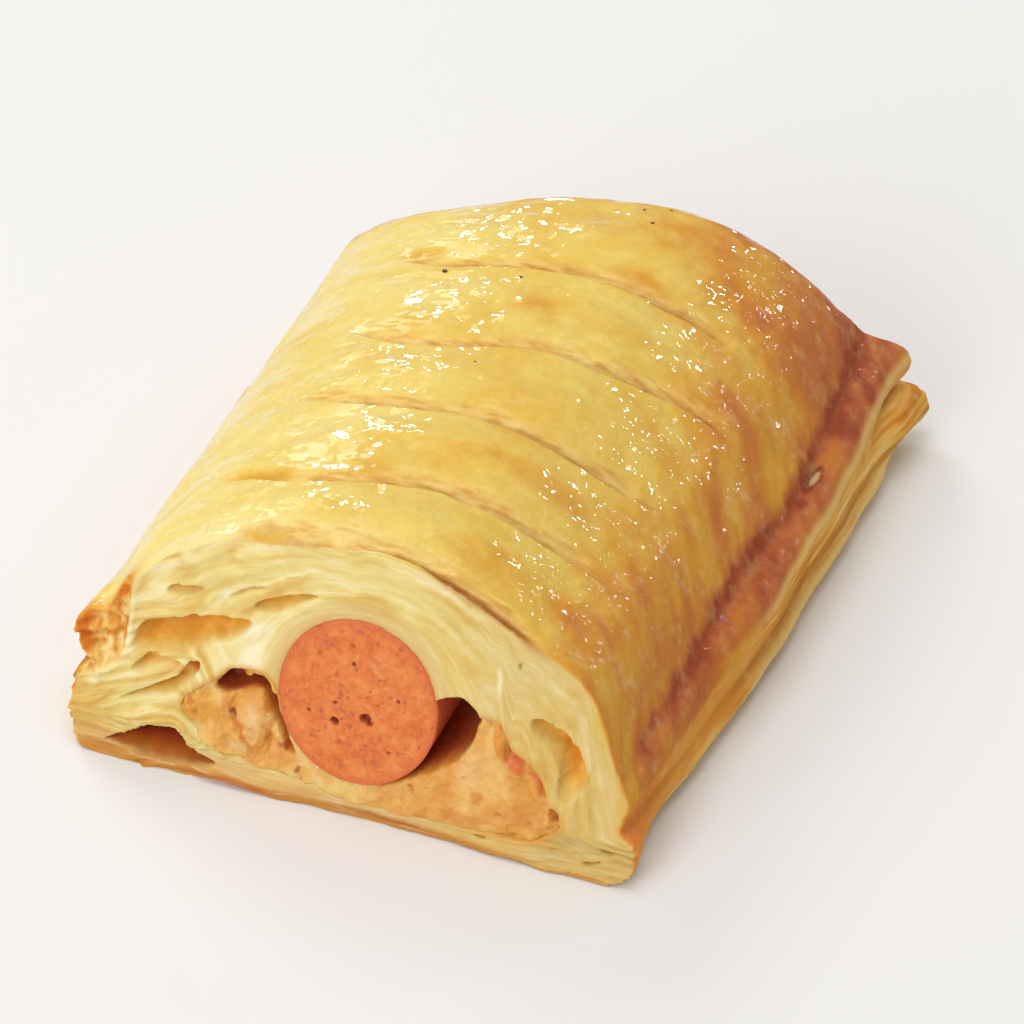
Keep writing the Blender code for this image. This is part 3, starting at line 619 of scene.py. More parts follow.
def crust_colour(v, maps):
    """The baked, glazed outside."""
    x, y, z = v.T
    ridge = rim_right(y) - x
    back = y - 0.8 * z
    mottled = fbm(501, 3, x / 7.0, back / 5.0)
    speck = fbm(503, 3, x / 1.8, back / 1.8)
    brown = 0.30 + 0.07 * mottled + 0.03 * speck
    # across the roll the crust is darker to the right and paler on the left: partly browning, partly painted light from
    # the lamp on the left and painted shade on the right
    brown = brown + 0.04 * step(-12, 8, x) + 0.10 * step(8, 24, x) + 0.11 * step(20, 30, x) + 0.10 * step(62, 92, y) * step(6, 22, x) + 0.05 * step(70, 88, y)
    brown = brown - 0.15 * step(-3, -24, x) * step(95, 80, y) - 0.10 * step(2, -14, x) * step(17, 9, y)
    # darker golden patches, mostly on the near edges and right ends of the strips
    brown = brown + 0.13 * np.clip(fbm(507, 2, x / 8.0 + 3, y / 6.0) - 0.25, 0, 1)
    for cx, cy, rx, ry, amount in (
        (12, 14, 7, 4, 0.12), (24, 15, 6, 5, 0.12), (27, 28, 5, 6, 0.07), (26, 62, 6, 7, 0.10), (22, 78, 7, 6, 0.12),
        (12, 62, 6, 4, 0.07), (29, 76, 5, 9, 0.10), (4, 28, 8, 4, 0.06), (28, 44, 4, 8, 0.07), (-6, 84, 9, 5, 0.05), (13, 82, 9, 7, 0.10), (17, 77, 6, 6, 0.07), (22, 22, 5, 4, 0.06), (6, 44, 9, 4, 0.04), (-2, 62, 8, 4, 0.04),
    ):
        brown = brown + amount * dab(x, y, cx, cy, rx, ry, 0, 0.8)
    # the rim band on the right is the darkest: deep red in the fold, paler outwards
    fold = x - through(FOLD, y)
    wobble = 0.5 * fbm(509, 2, y / 5.0, x / 5.0) + 0.35 * fbm(511, 3, y / 1.4, x / 1.4)
    flat_rim = step(26, 36, y)
    outer = np.maximum(step(0.1, 0.9, ridge), 1 - flat_rim)
    band = step(-0.9, 0.3, fold + 0.7 * wobble) * outer * step(7.4 + 0.8 * flat_rim, 9.6 + 0.8 * flat_rim, z + 0.6 * wobble) * step(-1.5, 2.5, y)
    reddish = 0.72 + 0.05 * mottled + 0.05 * speck + 0.09 * bump(fold + 0.6 * wobble, 0.5, 0.9) * step(4, 14, y) - 0.03 * step(1.6, 3.6, fold)
    reddish = reddish - 0.10 * step(16, 4, y) + 0.05 * step(26, 36, y) + 0.09 * dab(x, y, 35, 80, 3.5, 8, 0, 0.8)
    brown = brown + (reddish - brown) * band
    brown = brown + 0.06 * bump(fold + wobble, -1.2, 1.2) * step(3, 9, y)
    left_edge = step(3.6, 0.8, x + rim_left(y) + 0.7 * mottled) * step(9.0, 11, z)
    brown = brown + (0.30 + 0.10 * speck) * left_edge
    end = rim_rear(x) + 0.1 - 3.0 * smooth(-x / 30) + 0.5 * smooth(x / 20)
    rear_edge = step(6.8, 4.6, end - y + 0.4 * mottled + 0.2 * speck)
    baked_end = 0.56 + 0.12 * step(5, 25, x) + 0.09 * mottled + 0.05 * speck + 0.05 * step(24, 14, z)
    brown = brown + (baked_end - brown) * 0.85 * rear_edge * step(10, 12, z)
    tint = shades(np.clip(brown, 0, 0.85), BAKED)
    # a painted highlight runs as a pale edge along the rim where it is flat, and a burst blister shows pale dough
    tint = blend(tint, (230, 192, 118), 0.9 * bump(ridge, 0.35, 0.42) * step(34, 46, y) * step(9.5, 11, z))
    tint = blend(tint, (112, 34, 20), 0.85 * dab(x, y, 34.9, 65.6, 1.0, 3.4, -4, 0.45))
    tint = blend(tint, (216, 180, 124), 0.95 * dab(x, y, 35.1, 65.9, 0.55, 2.2, -4, 0.5))
    tint = blend(tint, (140, 52, 30), 0.6 * dab(x, y, 35.1, 61.0, 1.1, 1.6, 0, 0.7))
    # the crust thins out to pale dough along the left of the cut
    tint = blend(tint, (244, 232, 164), 0.85 * step(3.4, 0.6, y - edge_of_cut(z) + 0.8 * wobble) * step(5, -4, x) * step(24, 27, z))
    # the torn left shoulder is browned
    tint = blend(tint, (226, 152, 54), 0.9 * step(-30.0, -33.0, x + 0.5 * wobble) * step(10, 5, y) * step(27, 23, z) * step(12, 14, z))
    # the walls below the rims: golden leaves over a paler lip
    on_right = step(24, 30, x)
    lower_to = 2.4 * on_right * (1 - flat_rim)
    walls = step(10.9, 9.6, z + 0.3 * speck + lower_to)
    leaf = fbm(515, 3, (x + y) / 12.0, z / 0.55)
    wall = shades(leaf + 0.3 * mottled, ((-1.0, (206, 128, 42)), (-0.3, (230, 160, 62)), (0.3, (238, 184, 88)), (1.0, (246, 210, 132))))
    wall = blend(wall, (234, 156, 64), 0.75 * on_right * step(46, 30, y) * step(2.6, 4.0, z + 0.4 * mottled))
    wall = blend(wall, (238, 134, 54), 0.8 * on_right * step(22, 6, y) * step(3.4, 6.5, z + 0.4 * mottled))
    # painted shade in the grooves between the sheets: at the groove on the left and rear, and where the right wall
    # rises from its ledge
    wall = blend(wall, (162, 98, 38), 0.6 * bump(z, 8.9, 0.9) * (1 - on_right))
    wall = blend(wall, (160, 98, 40), (0.2 + 0.4 * step(30, 44, y)) * on_right * bump(z, 5.0 + 2.2 * step(12, 1, y), 0.5) * step(4, 10, y))
    lip_z = 2.9 - 1.6 * step(44, 30, y)
    wall = blend(wall, (234, 204, 132), 0.85 * bump(z, lip_z, 1.5 - 0.7 * step(44, 30, y)) * on_right + 0.6 * bump(z, 5.4, 1.2) * (1 - on_right))
    tint = blend(tint, wall, walls)
    tint = blend(tint, (196, 132, 60), 0.6 * step(1.2, 0.3, z))
    # bare dough in the slashes
    streaks = fbm(517, 3, x / 2.6, y / 0.42)
    dough = shades(streaks, ((-0.9, (216, 162, 82)), (-0.1, (236, 194, 112)), (0.6, (246, 216, 140))))
    tint = blend(tint, dough, 0.85 * maps["bare"])
    # the dark line in each slash is painted shadow under the near strip's edge
    tint = blend(tint, (150, 84, 34), maps["dark"] * (0.62 + 0.38 * step(-6, 8, x)) * (1 - 0.6 * step(14, 9, y) * step(8, 0, x)))
    tint = blend(tint, (222, 168, 52), 0.8 * maps["pool"])
    return tint


def cut_colour(v, m):
    """The cut layers, the pockets and the torn left edge. m holds what the maps say at each point."""
    x, y, z = v.T
    deep = np.clip(y - edge_of_cut(z), 0, 20)
    soft = fbm(521, 3, x / 5.0, z / 4.0)
    fine = fbm(523, 3, x / 0.9, z / 0.8)
    cave = np.zeros(len(x))
    hidden = deep > 0.2
    cave[hidden] = fbm(543, 3, x[hidden] / 2.2, y[hidden] / 2.2, z[hidden] / 0.9)
    away = step(0.3, 1.4, deep)
    leafy = 0.55 * m["lam"] + 0.40 * m["fine"] - 1.1 * m["leaf"]
    tint = shades(leafy + (0.6 * cave - leafy) * away + 0.35 * soft, CRUMB)
    fine = fine + (cave - fine) * away
    tint = blend(tint, (208, 168, 84), 0.50 * step(3, 20, x))
    # painted shade in the partings between layers
    tint = blend(tint, (218, 172, 96), 0.35 * m["parted"])
    tint = blend(tint, (228, 198, 132), 0.75 * m["dense"])
    # a thin ring of painted shade where the dough meets the sausage
    tint = blend(tint, (226, 178, 112), 0.7 * bump(m["near_sausage"], 0.2, 0.5) * step(8, 12, z))
    tint = blend(tint, (216, 186, 84), 0.7 * dab(x, z, 29.6, 19.5, 4.6, 1.0, -72))
    tint = blend(tint, (206, 152, 96), 0.6 * step(1.5, 0.3, m["down"]) * step(6, 11, x) * step(25, 20, x))
    # lower left lobe and the bottom sheet
    tint = blend(tint, (226, 182, 92), 0.75 * step(-31.5, -36.0, x + 0.6 * soft) * step(9.5, 8.0, z))
    tint = blend(tint, (222, 178, 116), 0.75 * step(4.2, 2.2, z + 0.4 * soft) * step(20, 4, x))
    tint = blend(tint, (222, 190, 124), 0.5 * step(4.2, 2.2, z) * step(12, 24, x))
    sheet = step(1.7, 0.8, z + 0.35 * m["fine"]) * step(27, 15, x)
    tint = blend(tint, (202, 132, 56), 0.85 * sheet)
    tint = blend(tint, (168, 92, 38), 0.7 * bump(z, 0.95 + 0.15 * soft, 0.25) * step(-12, 2, x) * step(12, 7, x))
    tint = blend(tint, (184, 92, 36), 0.6 * dab(x, z, -17.0, 0.7, 8.0, 0.9))
    # pockets are golden at the back, partly browning and partly painted light glowing through the thin walls, with a
    # darker golden deeper in that is painted shade; their floors stay cream
    golden = shades(fine, ((-0.8, (238, 176, 70)), (0.8, (249, 206, 108))))
    tint = blend(tint, golden, m["pocket"] * step(0.3, 2.6, deep + 0.3 * fine))
    tint = blend(tint, (228, 160, 56), m["pocket"] * 0.6 * step(3.0, 6.5, deep))
    tint = blend(tint, (210, 116, 42), 0.8 * dab(x, z, -22.4, 14.0, 2.2, 0.9, 42) * step(0.1, 0.8, deep))
    # painted shade in the void under the bottom left: darkest towards its ceiling and deeper in
    void = m["under"] * step(0.2, 1.2, deep)
    tint = blend(tint, shades(z + 0.3 * fine, ((1.0, (216, 128, 50)), (1.9, (204, 94, 40)), (2.8, (160, 54, 30)), (4.0, (124, 38, 24)))), void)
    tint = blend(tint, (150, 50, 34), void * step(2.0, 6.0, deep))
    # painted light: a lighter colour deep in the gap beside the sausage, in place of light bounced into it
    tint = blend(tint, (236, 140, 98), m["gap"] * step(2.0, 9.0, deep))
    # golden pits in the bottom right corner
    tint = blend(tint, (206, 152, 60), m["pit"] * step(0.05, 0.5, deep))
    # where the filling meets the dough it is stained
    tint = blend(tint, (226, 160, 74), 0.6 * m["stain"])
    # behind the torn lip: browned leaves, orange at the top and edge
    torn = shades(fbm(531, 3, (x + 0.5 * z) / 0.9, (z - 0.5 * x) / 1.1), ((-0.9, (212, 134, 52)), (0.0, (234, 186, 98)), (0.8, (247, 222, 160))))
    torn = blend(torn, (232, 164, 56), 0.8 * step(19.0, 21.0, z + 0.3 * soft))
    torn = blend(torn, (214, 112, 40), 0.85 * dab(x, z, -34.4, 19.6, 3.2, 1.0, 32))
    torn = blend(torn, (208, 112, 42), 0.8 * step(-36.6, -37.8, x + 0.2 * fine))
    tint = blend(tint, torn, m["torn"])
    tint = blend(tint, (248, 236, 192), 0.4 * m["lip"])
    # a knife mark and a green fleck
    tint = blend(tint, (250, 242, 212), 0.8 * dab(x, z, 16.6, 22.2, 2.4, 0.45, -82, 0.6))
    tint = blend(tint, (150, 146, 60), 0.9 * dab(x, z, 18.9, 24.8, 0.34, 0.55, 0, 0.6))
    return tint


def pastry():
    xs = np.arange(-42.4, 42.4, 0.25).astype(F)
    zs = np.arange(-0.6, 38.0, 0.22).astype(F)
    ys, y = [], -2.8
    while y < 99.5:
        ys.append(y)
        near = min(np.abs(y - through(s[0], np.linspace(-20, 20, 9)) - 0.4).min() for s in SLASHES)
        y += 0.22 if y < 12.5 else (0.27 if near < 1.2 else (0.33 if y > 86 else 0.42))
    ys = np.array(ys, F)
    top, maps = top_maps(xs, ys)
    gx = np.gradient(top, xs.astype(float), axis=0)
    gy = np.gradient(top, ys.astype(float), axis=1)
    lean = 1 / np.sqrt(1 + np.minimum(gx ** 2 + gy ** 2, 9))
    cut = cut_maps(xs, zs, ys, top)

    yz_y, yz_z = ys[:, None].astype(float), zs[None, :].astype(float)
    right = right_side(yz_y, yz_z)
    left = side(base_left(yz_y), rim_left(yz_y), yz_y, yz_z, 231, rim_height(-36.0, yz_y), 1.5 * step(24, 4, yz_y))
    xz_x, xz_z = xs[:, None].astype(float), zs[None, :].astype(float)
    rear = side(base_rear(xz_x), rim_rear(xz_x), xz_x, xz_z, 261, rim_height(xz_x, 93.0))
    under = 0.05 + 0.10 * fbm(281, 3, xs[:, None] / 5.0, ys[None, :] / 5.0)

    X, Y, Z = xs[:, None, None], ys[None, :, None], zs[None, None, :]
    body = smax(X - right[None].astype(F), -X - left[None].astype(F), F(1.0))
    body = smax(body, Y - rear[:, None, :].astype(F), F(1.6))
    over = (Z - top[:, :, None].astype(F)) * lean[:, :, None].astype(F)
    body = smax(body, over, F(0.9))
    del over
    body = smax(body, under[:, :, None].astype(F) - Z, F(0.35))
    outer = body.copy()

    face = (cut["plane"] + cut["relief"]).astype(F)
    body = smax(body, (face[:, None, :] - Y) * F(0.95), F(0.14))

    # hollows: for the filling, the sausage and the air pockets
    n_front = int(np.searchsorted(ys, 62.0))
    near = np.s_[:, :n_front, :]
    behind = np.clip(Y[:, :n_front] - (cut["plane"].astype(F))[:, None, :], 0, None)
    x, z = cut["x"], cut["z"]
    sx, sz, r = SAUSAGE
    fill = np.minimum(polygon(rounded(FILL_RIGHT), x, z), polygon(rounded(FILL_LEFT), x, z))
    room = np.minimum(np.hypot(x - sx, z - sz) - (r - 0.1), fill + 0.12)
    gap = outline_field(GAP, x, z, 0.08, 401)
    gap_left = outline_field(HOLLOW_LEFT, x, z, 0.12, 405)
    hollow = np.maximum(room.astype(F)[:, None, :], behind - F(12.0))
    hollow = np.minimum(hollow, np.maximum(gap.astype(F)[:, None, :], behind - F(17.0)))
    hollow = np.minimum(hollow, np.maximum(gap_left.astype(F)[:, None, :], behind - F(5.0)))
    pocket, pit, void = np.zeros_like(x), np.zeros_like(x), np.zeros_like(x)
    for i, (name, outline, depth, ragged) in enumerate(POCKETS):
        p = outline_field(outline, x, z, ragged, 420 + 3 * i)
        half = max(-p.min(), 0.2)
        depth_here = depth * (0.85 + 0.3 * fbm(460 + i, 2, x / 5, z / 3))
        if depth < 30 and name != "under" and not name.startswith("pit"):
            # the floor climbs back towards the upper edge, like a parted leaf
            low = np.where(p < 0, z, 99.0).min(1, keepdims=True)
            high = np.where(p < 0, z, -99.0).max(1, keepdims=True)
            depth_here = depth_here * (0.28 + 0.9 * np.clip((z - low) / np.maximum(high - low, 0.4), 0, 1))
        shape = p.astype(F)[:, None, :] + F(half) * (behind / depth_here.astype(F)[:, None, :]) ** 2
        hollow = smin(hollow, shape, F(0.2))
        into = step(0.35, -0.25, p)
        if name == "under":
            void = np.maximum(void, into)
        elif name.startswith("pit") or name == "sliver":
            pit = np.maximum(pit, into)
        else:
            pocket = np.maximum(pocket, into)
    body[near] = smax(body[near], -hollow, F(0.2))

    def unseen(v):
        below = (v[:, 2] < 0.45) & (np.abs(v[:, 0]) < 30) & (v[:, 1] < 84) & ((v[:, 1] > 15) | (v[:, 0] > -12))
        within = (v[:, 1] - edge_of_cut(v[:, 2]) > 9.5) & (np.abs(v[:, 0]) < 29) & (v[:, 2] > 1.4)
        return below & (v[:, 1] > 3) | within & (v[:, 2] < np.minimum(23.5, 26 - 0.04 * (v[:, 0] + 1) ** 2))

    verts, faces = surface(xs, ys, zs, body, unseen)
    verts = relax(verts, faces, 1, 0.35)

    # ---- how it looks, point by point
    at = [np.clip(np.searchsorted(c, verts[:, i]) - 1, 0, len(c) - 2) for i, c in enumerate((xs, ys, zs))]
    skin = 0
    for corner in range(8):
        d = [corner >> k & 1 for k in range(3)]
        skin = skin + outer[at[0] + d[0], at[1] + d[1], at[2] + d[2]] / 8
    vx, vy, vz = verts.T
    read_xz = lambda g: sampler(xs, zs, g)(vx, vz)
    read_xy = lambda g: sampler(xs, ys, g)(vx, vy)
    crust = step(-0.50, -0.14, skin)
    on_top = step(-1.4, -0.3, vz - read_xy(top))
    outside = {k: read_xy(maps[k]) * on_top for k in ("bare", "dark", "pool")}
    cut.update(pocket=pocket, pit=pit, under=void, gap=step(0.5, -0.3, gap), stain=step(0.9, 0.0, fill) * step(4.0, 6.0, z + 0.15 * x))
    inside = {k: read_xz(cut[k]) for k in ("leaf", "lam", "fine", "parted", "dense", "near_sausage", "down", "pocket", "pit", "under", "gap", "stain", "torn", "lip")}
    tint = cut_colour(verts, inside)
    tint = tint + (crust_colour(verts, outside) - tint) * crust[:, None]
    glint = sum(a * dab(vx, vy, cx, cy, r, r, 0, 0.7) for cx, cy, r, a in GLINTS) * on_top
    attributes = {
        "crust": crust,
        "gloss": crust * on_top * (1 - 0.9 * outside["bare"]) * step(9.0, 11.0, vz) * (1 - 0.75 * step(-1.2, -0.2, vx - through(FOLD, vy)) * (1 - np.clip(glint, 0, 1))),
        "layers": read_xz(cut["layers"]),
        "leafy": (1 - np.maximum(inside["pocket"], inside["under"]) * step(0.1, 0.9, vy - edge_of_cut(vz))) * (1 - inside["torn"]),
        "glint": glint,
        "tint": linear(tint),
    }
    print("pastry", len(verts), "points", sum(map(len, faces)), "faces")
    return verts, faces, attributes


# ------------------------------------------------------------------ filling and sausage
FILL_DABS = (
    # x, z, half sizes, turn, how strong, colour
    (17.6, 14.6, 3.0, 0.9, -72, 0.85, (226, 140, 40)), (19.6, 12.6, 2.0, 1.2, -30, 0.85, (222, 104, 44)),
    (22.9, 10.6, 2.0, 0.8, -65, 0.85, (220, 102, 40)), (21.5, 8.5, 3.4, 3.6, -30, 0.75, (228, 156, 52)),
    # the dark dab at 25.3, 7.2 is painted shade in the small dent there
    (25.3, 7.2, 1.0, 1.2, 0, 0.8, (170, 62, 30)), (19.5, 5.6, 4.6, 2.6, 0, 0.7, (226, 152, 58)),
    (11.9, 4.2, 1.6, 0.9, 0, 0.6, (222, 148, 62)), (15.3, 6.6, 1.1, 1.1, 0, 0.7, (222, 136, 56)),
    (15.4, 4.0, 2.4, 0.5, 0, 0.6, (206, 148, 60)), (14.2, 10.5, 2.4, 4.0, -12, 0.6, (238, 192, 128)),
    (5.0, 4.6, 5.0, 1.6, 8, 0.5, (232, 172, 92)), (13.5, 3.6, 4.5, 1.3, 0, 0.6, (222, 146, 52)), (22.4, 5.6, 2.6, 1.4, -10, 0.5, (224, 142, 50)),
    (-21.6, 9.0, 3.0, 3.0, 20, 0.85, (232, 168, 54)), (-18.6, 6.8, 1.6, 3.2, 10, 0.6, (226, 162, 60)),
    (-17.6, 9.8, 1.2, 2.2, 0, 0.6, (218, 140, 52)), (-16.9, 9.5, 0.8, 0.7, 0, 0.9, (132, 48, 24)),
    (-14.4, 9.0, 2.2, 4.2, 8, 0.8, (238, 190, 118)), (-14.2, 9.6, 1.1, 2.4, 8, 0.7, (245, 208, 148)),
    (-15.9, 7.4, 0.8, 2.6, 12, 0.8, (228, 126, 44)), (-14.3, 5.4, 1.3, 1.1, 0, 0.8, (226, 122, 40)),
    (-12.2, 7.4, 0.6, 3.4, 12, 0.6, (206, 128, 60)), (-9.9, 5.8, 2.4, 1.8, 0, 0.7, (232, 158, 74)),
    (-10.1, 6.7, 1.1, 0.4, 0, 0.8, (176, 84, 36)), (-8.2, 4.4, 0.6, 0.5, 0, 0.8, (170, 84, 40)),
    (-16.2, 4.8, 1.6, 0.8, 0, 0.6, (236, 204, 146)), (-22.8, 9.9, 0.6, 0.8, 40, 0.7, (196, 110, 44)),
)


def filling():
    xs = np.arange(-25.6, 28.2, 0.2).astype(F)
    zs = np.arange(1.0, 20.4, 0.2).astype(F)
    ys = np.concatenate([np.arange(-1.8, 9.0, 0.2), np.arange(9.0, 64.0, 1.0)]).astype(F)
    x, z = np.meshgrid(xs.astype(float), zs.astype(float), indexing="ij")
    sx, sz, r = SAUSAGE
    plane = edge_of_cut(z)
    lumps = 0.55 * fbm(601, 2, x / 2.8, z / 2.4) + 0.20 * fbm(603, 3, x / 1.1, z / 1.0) + 0.03 * fbm(605, 2, x / 0.4, z / 0.4)
    chunk = polygon(rounded(CHUNK), x, z)
    crack = polygon(rounded(CRACK), x, z) + 0.10 * fbm(607, 3, x / 1.0, z / 1.0)
    relief = lumps * (0.6 + 0.5 * step(16, 20, x) + 0.5 * step(-9, -14, x)) + 0.25
    relief = relief - 0.75 * step(0.4, -1.2, chunk) + 0.6 * bump(chunk, 0.35, 0.4)
    relief = relief + 2.2 * step(0.35, -0.2, crack)
    # a ridge of cheese on the right, and the slope beside the gap
    relief = relief - 0.8 * dab(x, z, 17.6, 14.4, 3.0, 0.9, -72) - 0.6 * dab(x, z, 22.6, 10.2, 2.6, 1.1, -60)
    relief = relief + 0.9 * dab(x, z, 25.2, 7.2, 0.8, 1.0, 0)
    spots = np.clip(fbm(609, 2, x / 1.3, z / 1.1) - 0.95, 0, 1)
    relief = relief + 0.9 * spots
    fill = np.minimum(polygon(rounded(FILL_RIGHT), x, z), polygon(rounded(FILL_LEFT), x, z))
    gap = outline_field(GAP, x, z, 0.10, 401)
    gap_left = outline_field(HOLLOW_LEFT, x, z, 0.12, 405)
    tube = np.hypot(x - sx, z - sz) - (r - 0.15)
    X, Y, Z = xs[:, None, None], ys[None, :, None], zs[None, None, :]
    wide = lambda g: g.astype(F)[:, None, :]
    deep = np.clip(Y - wide(plane), 0, None)
    body = smax(wide(fill - 0.05), (wide(plane + relief) - Y) * F(0.9), F(0.25))
    body = np.maximum(body, Y - F(60.0))
    body = smax(body, -wide(tube), F(0.12))
    body = smax(body, -np.maximum(wide(gap + 0.15 * fbm(611, 2, x / 2, z / 2)), deep - F(15.0)), F(0.5))
    body = smax(body, -np.maximum(wide(gap_left), deep - F(4.5)), F(0.35))
    verts, faces = surface(xs, ys, zs, body, lambda v: v[:, 1] - edge_of_cut(v[:, 2]) > 6.0)
    verts = relax(verts, faces, 1, 0.35)
    vx, vy, vz = verts.T
    fine = fbm(621, 3, vx / 1.0, vz / 0.9)
    soft = fbm(623, 2, vx / 3.5, vz / 3.0)
    tint = shades(0.35 * fine + 0.7 * soft, ((-1.0, (228, 154, 60)), (0.0, (238, 183, 90)), (1.0, (245, 208, 130))))
    warp_x, warp_z = 0.35 * fbm(625, 2, vx / 1.2, vz / 1.2), 0.35 * fbm(627, 2, vx / 1.2, vz / 1.2)
    for cx, cz, rx, rz, turn, strength, rgb in FILL_DABS:
        tint = blend(tint, rgb, strength * dab(vx + warp_x, vz + warp_z, cx, cz, rx, rz, turn, 0.6))
    read = lambda g: sampler(xs, zs, g)(vx, vz)
    inside = np.clip(vy - edge_of_cut(vz), 0, 60)
    # painted shade inside the crack
    tint = blend(tint, (190, 96, 40), 0.8 * step(0.35, -0.1, read(crack)) * step(0.6, 1.6, inside))
    tint = blend(tint, (196, 104, 40), 0.7 * read(np.clip(spots * 3, 0, 1)))
    # painted shade on the filling going into the gaps
    dark = step(0.8, 4.5, inside) * step(1.6, 0.4, read(np.minimum(gap, gap_left)))
    tint = blend(tint, (214, 112, 66), dark)
    # painted light deeper in, in place of light bounced into the gaps
    tint = blend(tint, (238, 142, 98), step(5, 12, inside))
    # painted shade in the hollow on the left
    hollow = step(0.5, -0.1, read(gap_left)) * step(0.4, 2.0, inside)
    tint = blend(tint, (176, 76, 40), hollow)
    print("filling", len(verts), "points", sum(map(len, faces)), "faces")
    return verts, faces, {"tint": linear(tint), "wet": step(-0.4, 0.8, soft)}


def sausage():
    """A cut frankfurter: a slightly domed face with specks and small holes, and a smooth skin."""
    sx, sz, r = SAUSAGE
    rings = 84
    around = 300
    reach = np.linspace(0, 1, rings) ** 0.9 * (r - 0.32)
    angle = np.linspace(0, 2 * math.pi, around, endpoint=False)
    rr, aa = reach[1:, None], angle[None, :]
    px, pz = rr * np.cos(aa), rr * np.sin(aa)
    x, z = sx + px, sz + pz
    dome = -0.30 * (1 - (rr / r) ** 2) + 0.05 * fbm(701, 3, x / 1.6, z / 1.6) + 0.02 * fbm(703, 2, x / 0.45, z / 0.45)
    hole = 0
    holes = ((-3.7, 12.1, 0.50, 0.9), (0.2, 13.4, 0.62, 1.0), (0.75, 12.9, 0.34, 0.7), (-3.9, 14.5, 0.22, 0.4), (4.2, 16.6, 0.22, 0.4), (-7.2, 12.6, 0.2, 0.3), (-2.0, 19.8, 0.24, 0.35), (3.6, 9.8, 0.2, 0.3))
    for hx, hz, hr, hd in holes:
        d = np.hypot(x - hx, (z - hz) * 1.1) + 0.12 * Noise(705, 2)(x / 0.5, z / 0.5)
        hole = np.maximum(hole, hd * step(hr * 1.25, hr * 0.6, d))
    pores = np.clip(fbm(707, 2, x / 0.55, z / 0.55) - 0.85, 0, 1) * 0.8
    y = edge_of_cut(z) + dome + hole + pores
    face = np.stack([x, y, z], -1)
    middle = np.array([[sx, edge_of_cut(sz) - 0.30, sz]])
    # the rounded rim and the skin behind it
    rows = [face.reshape(-1, 3)]
    for bend in np.linspace(0, 90, 8)[1:]:
        b = math.radians(bend)
        rad = r - 0.32 + 0.32 * math.sin(b) + 0.0 * aa
        x2, z2 = sx + rad * np.cos(aa), sz + rad * np.sin(aa)
        rows.append(np.stack([x2, edge_of_cut(z2) + 0.32 * (1 - math.cos(b)) - 0.0, z2], -1).reshape(-1, 3))
    for back in list(np.arange(1.0, 14.0, 1.0)) + list(np.arange(16, 82, 6.0)) + [82.0]:
        rad = r + 0.06 * fbm(709, 2, aa * 2.0, np.full_like(aa, back / 5.0))
        x2, z2 = sx + rad * np.cos(aa), sz + rad * np.sin(aa)
        near = edge_of_cut(z2) + 0.32
        rows.append(np.stack([x2, near + (82.0 - near) * min(back / 82.0, 1.0) if back > 14 else near + back * 0.8, z2], -1).reshape(-1, 3))
    tail = np.array([[sx, 82.0, sz]])
    verts = np.concatenate([middle] + rows + [tail])
    count = (len(verts) - 2) // around
    j = np.arange(around)
    k = (j + 1) % around
    quads = []
    for i in range(count - 1):
        a, b = 1 + i * around, 1 + (i + 1) * around
        quads.append(np.stack([a + j, a + k, b + k, b + j], 1))
    quads = np.concatenate(quads)
    last = 1 + (count - 1) * around
    caps = np.concatenate([np.stack([np.zeros_like(j), k + 1, j + 1], 1), np.stack([np.full_like(j, len(verts) - 1), last + j, last + k], 1)])
    vx, vy, vz = verts.T
    rad = np.hypot(vx - sx, vz - sz)
    inside = np.clip(vy - edge_of_cut(vz), -1, 80)
    soft = fbm(711, 3, vx / 2.2, vz / 2.2)
    fine = fbm(713, 3, vx / 0.6, vz / 0.6)
    tint = shades(0.5 * soft + 0.5 * fine, ((-1.0, (220, 108, 42)), (0.0, (234, 130, 55)), (1.0, (242, 154, 80))))
    tint = blend(tint, (222, 105, 52), 0.7 * step(r - 1.3, r - 0.2, rad + 0.2 * soft))
    tint = blend(tint, (240, 176, 136), 0.5 * dab(vx, vz, 1.2, 20.4, 1.8, 2.2, 20, 0.9) * np.clip(0.6 + fine, 0, 1))
    tint = blend(tint, (210, 92, 70), 0.45 * dab(vx, vz, -6.2, 21.6, 2.0, 1.6, 30, 0.9))
    tint = blend(tint, (204, 96, 60), 0.6 * np.clip(fbm(715, 2, vx / 0.8, vz / 0.8) - 0.6, 0, 1) * 3)
    # painted shade in the holes on the cut face
    for hx, hz, hr, hd in holes:
        d = np.hypot(vx - hx, (vz - hz) * 1.1)
        tint = blend(tint, (150, 52, 30), 0.85 * step(hr * 1.5, hr * 0.7, d) * step(1.0, 0.0, inside - 1))
    skin = step(0.2, 1.2, inside) * step(r - 0.5, r - 0.1, rad)
    tint = blend(tint, (218, 106, 72), skin)
    # painted light deep in the gap along the skin, in place of light bounced into it
    tint = blend(tint, (236, 136, 104), step(4, 12, inside))
    print("sausage", len(verts), "points")
    return verts, quads, caps, {"tint": linear(tint), "skin": skin}


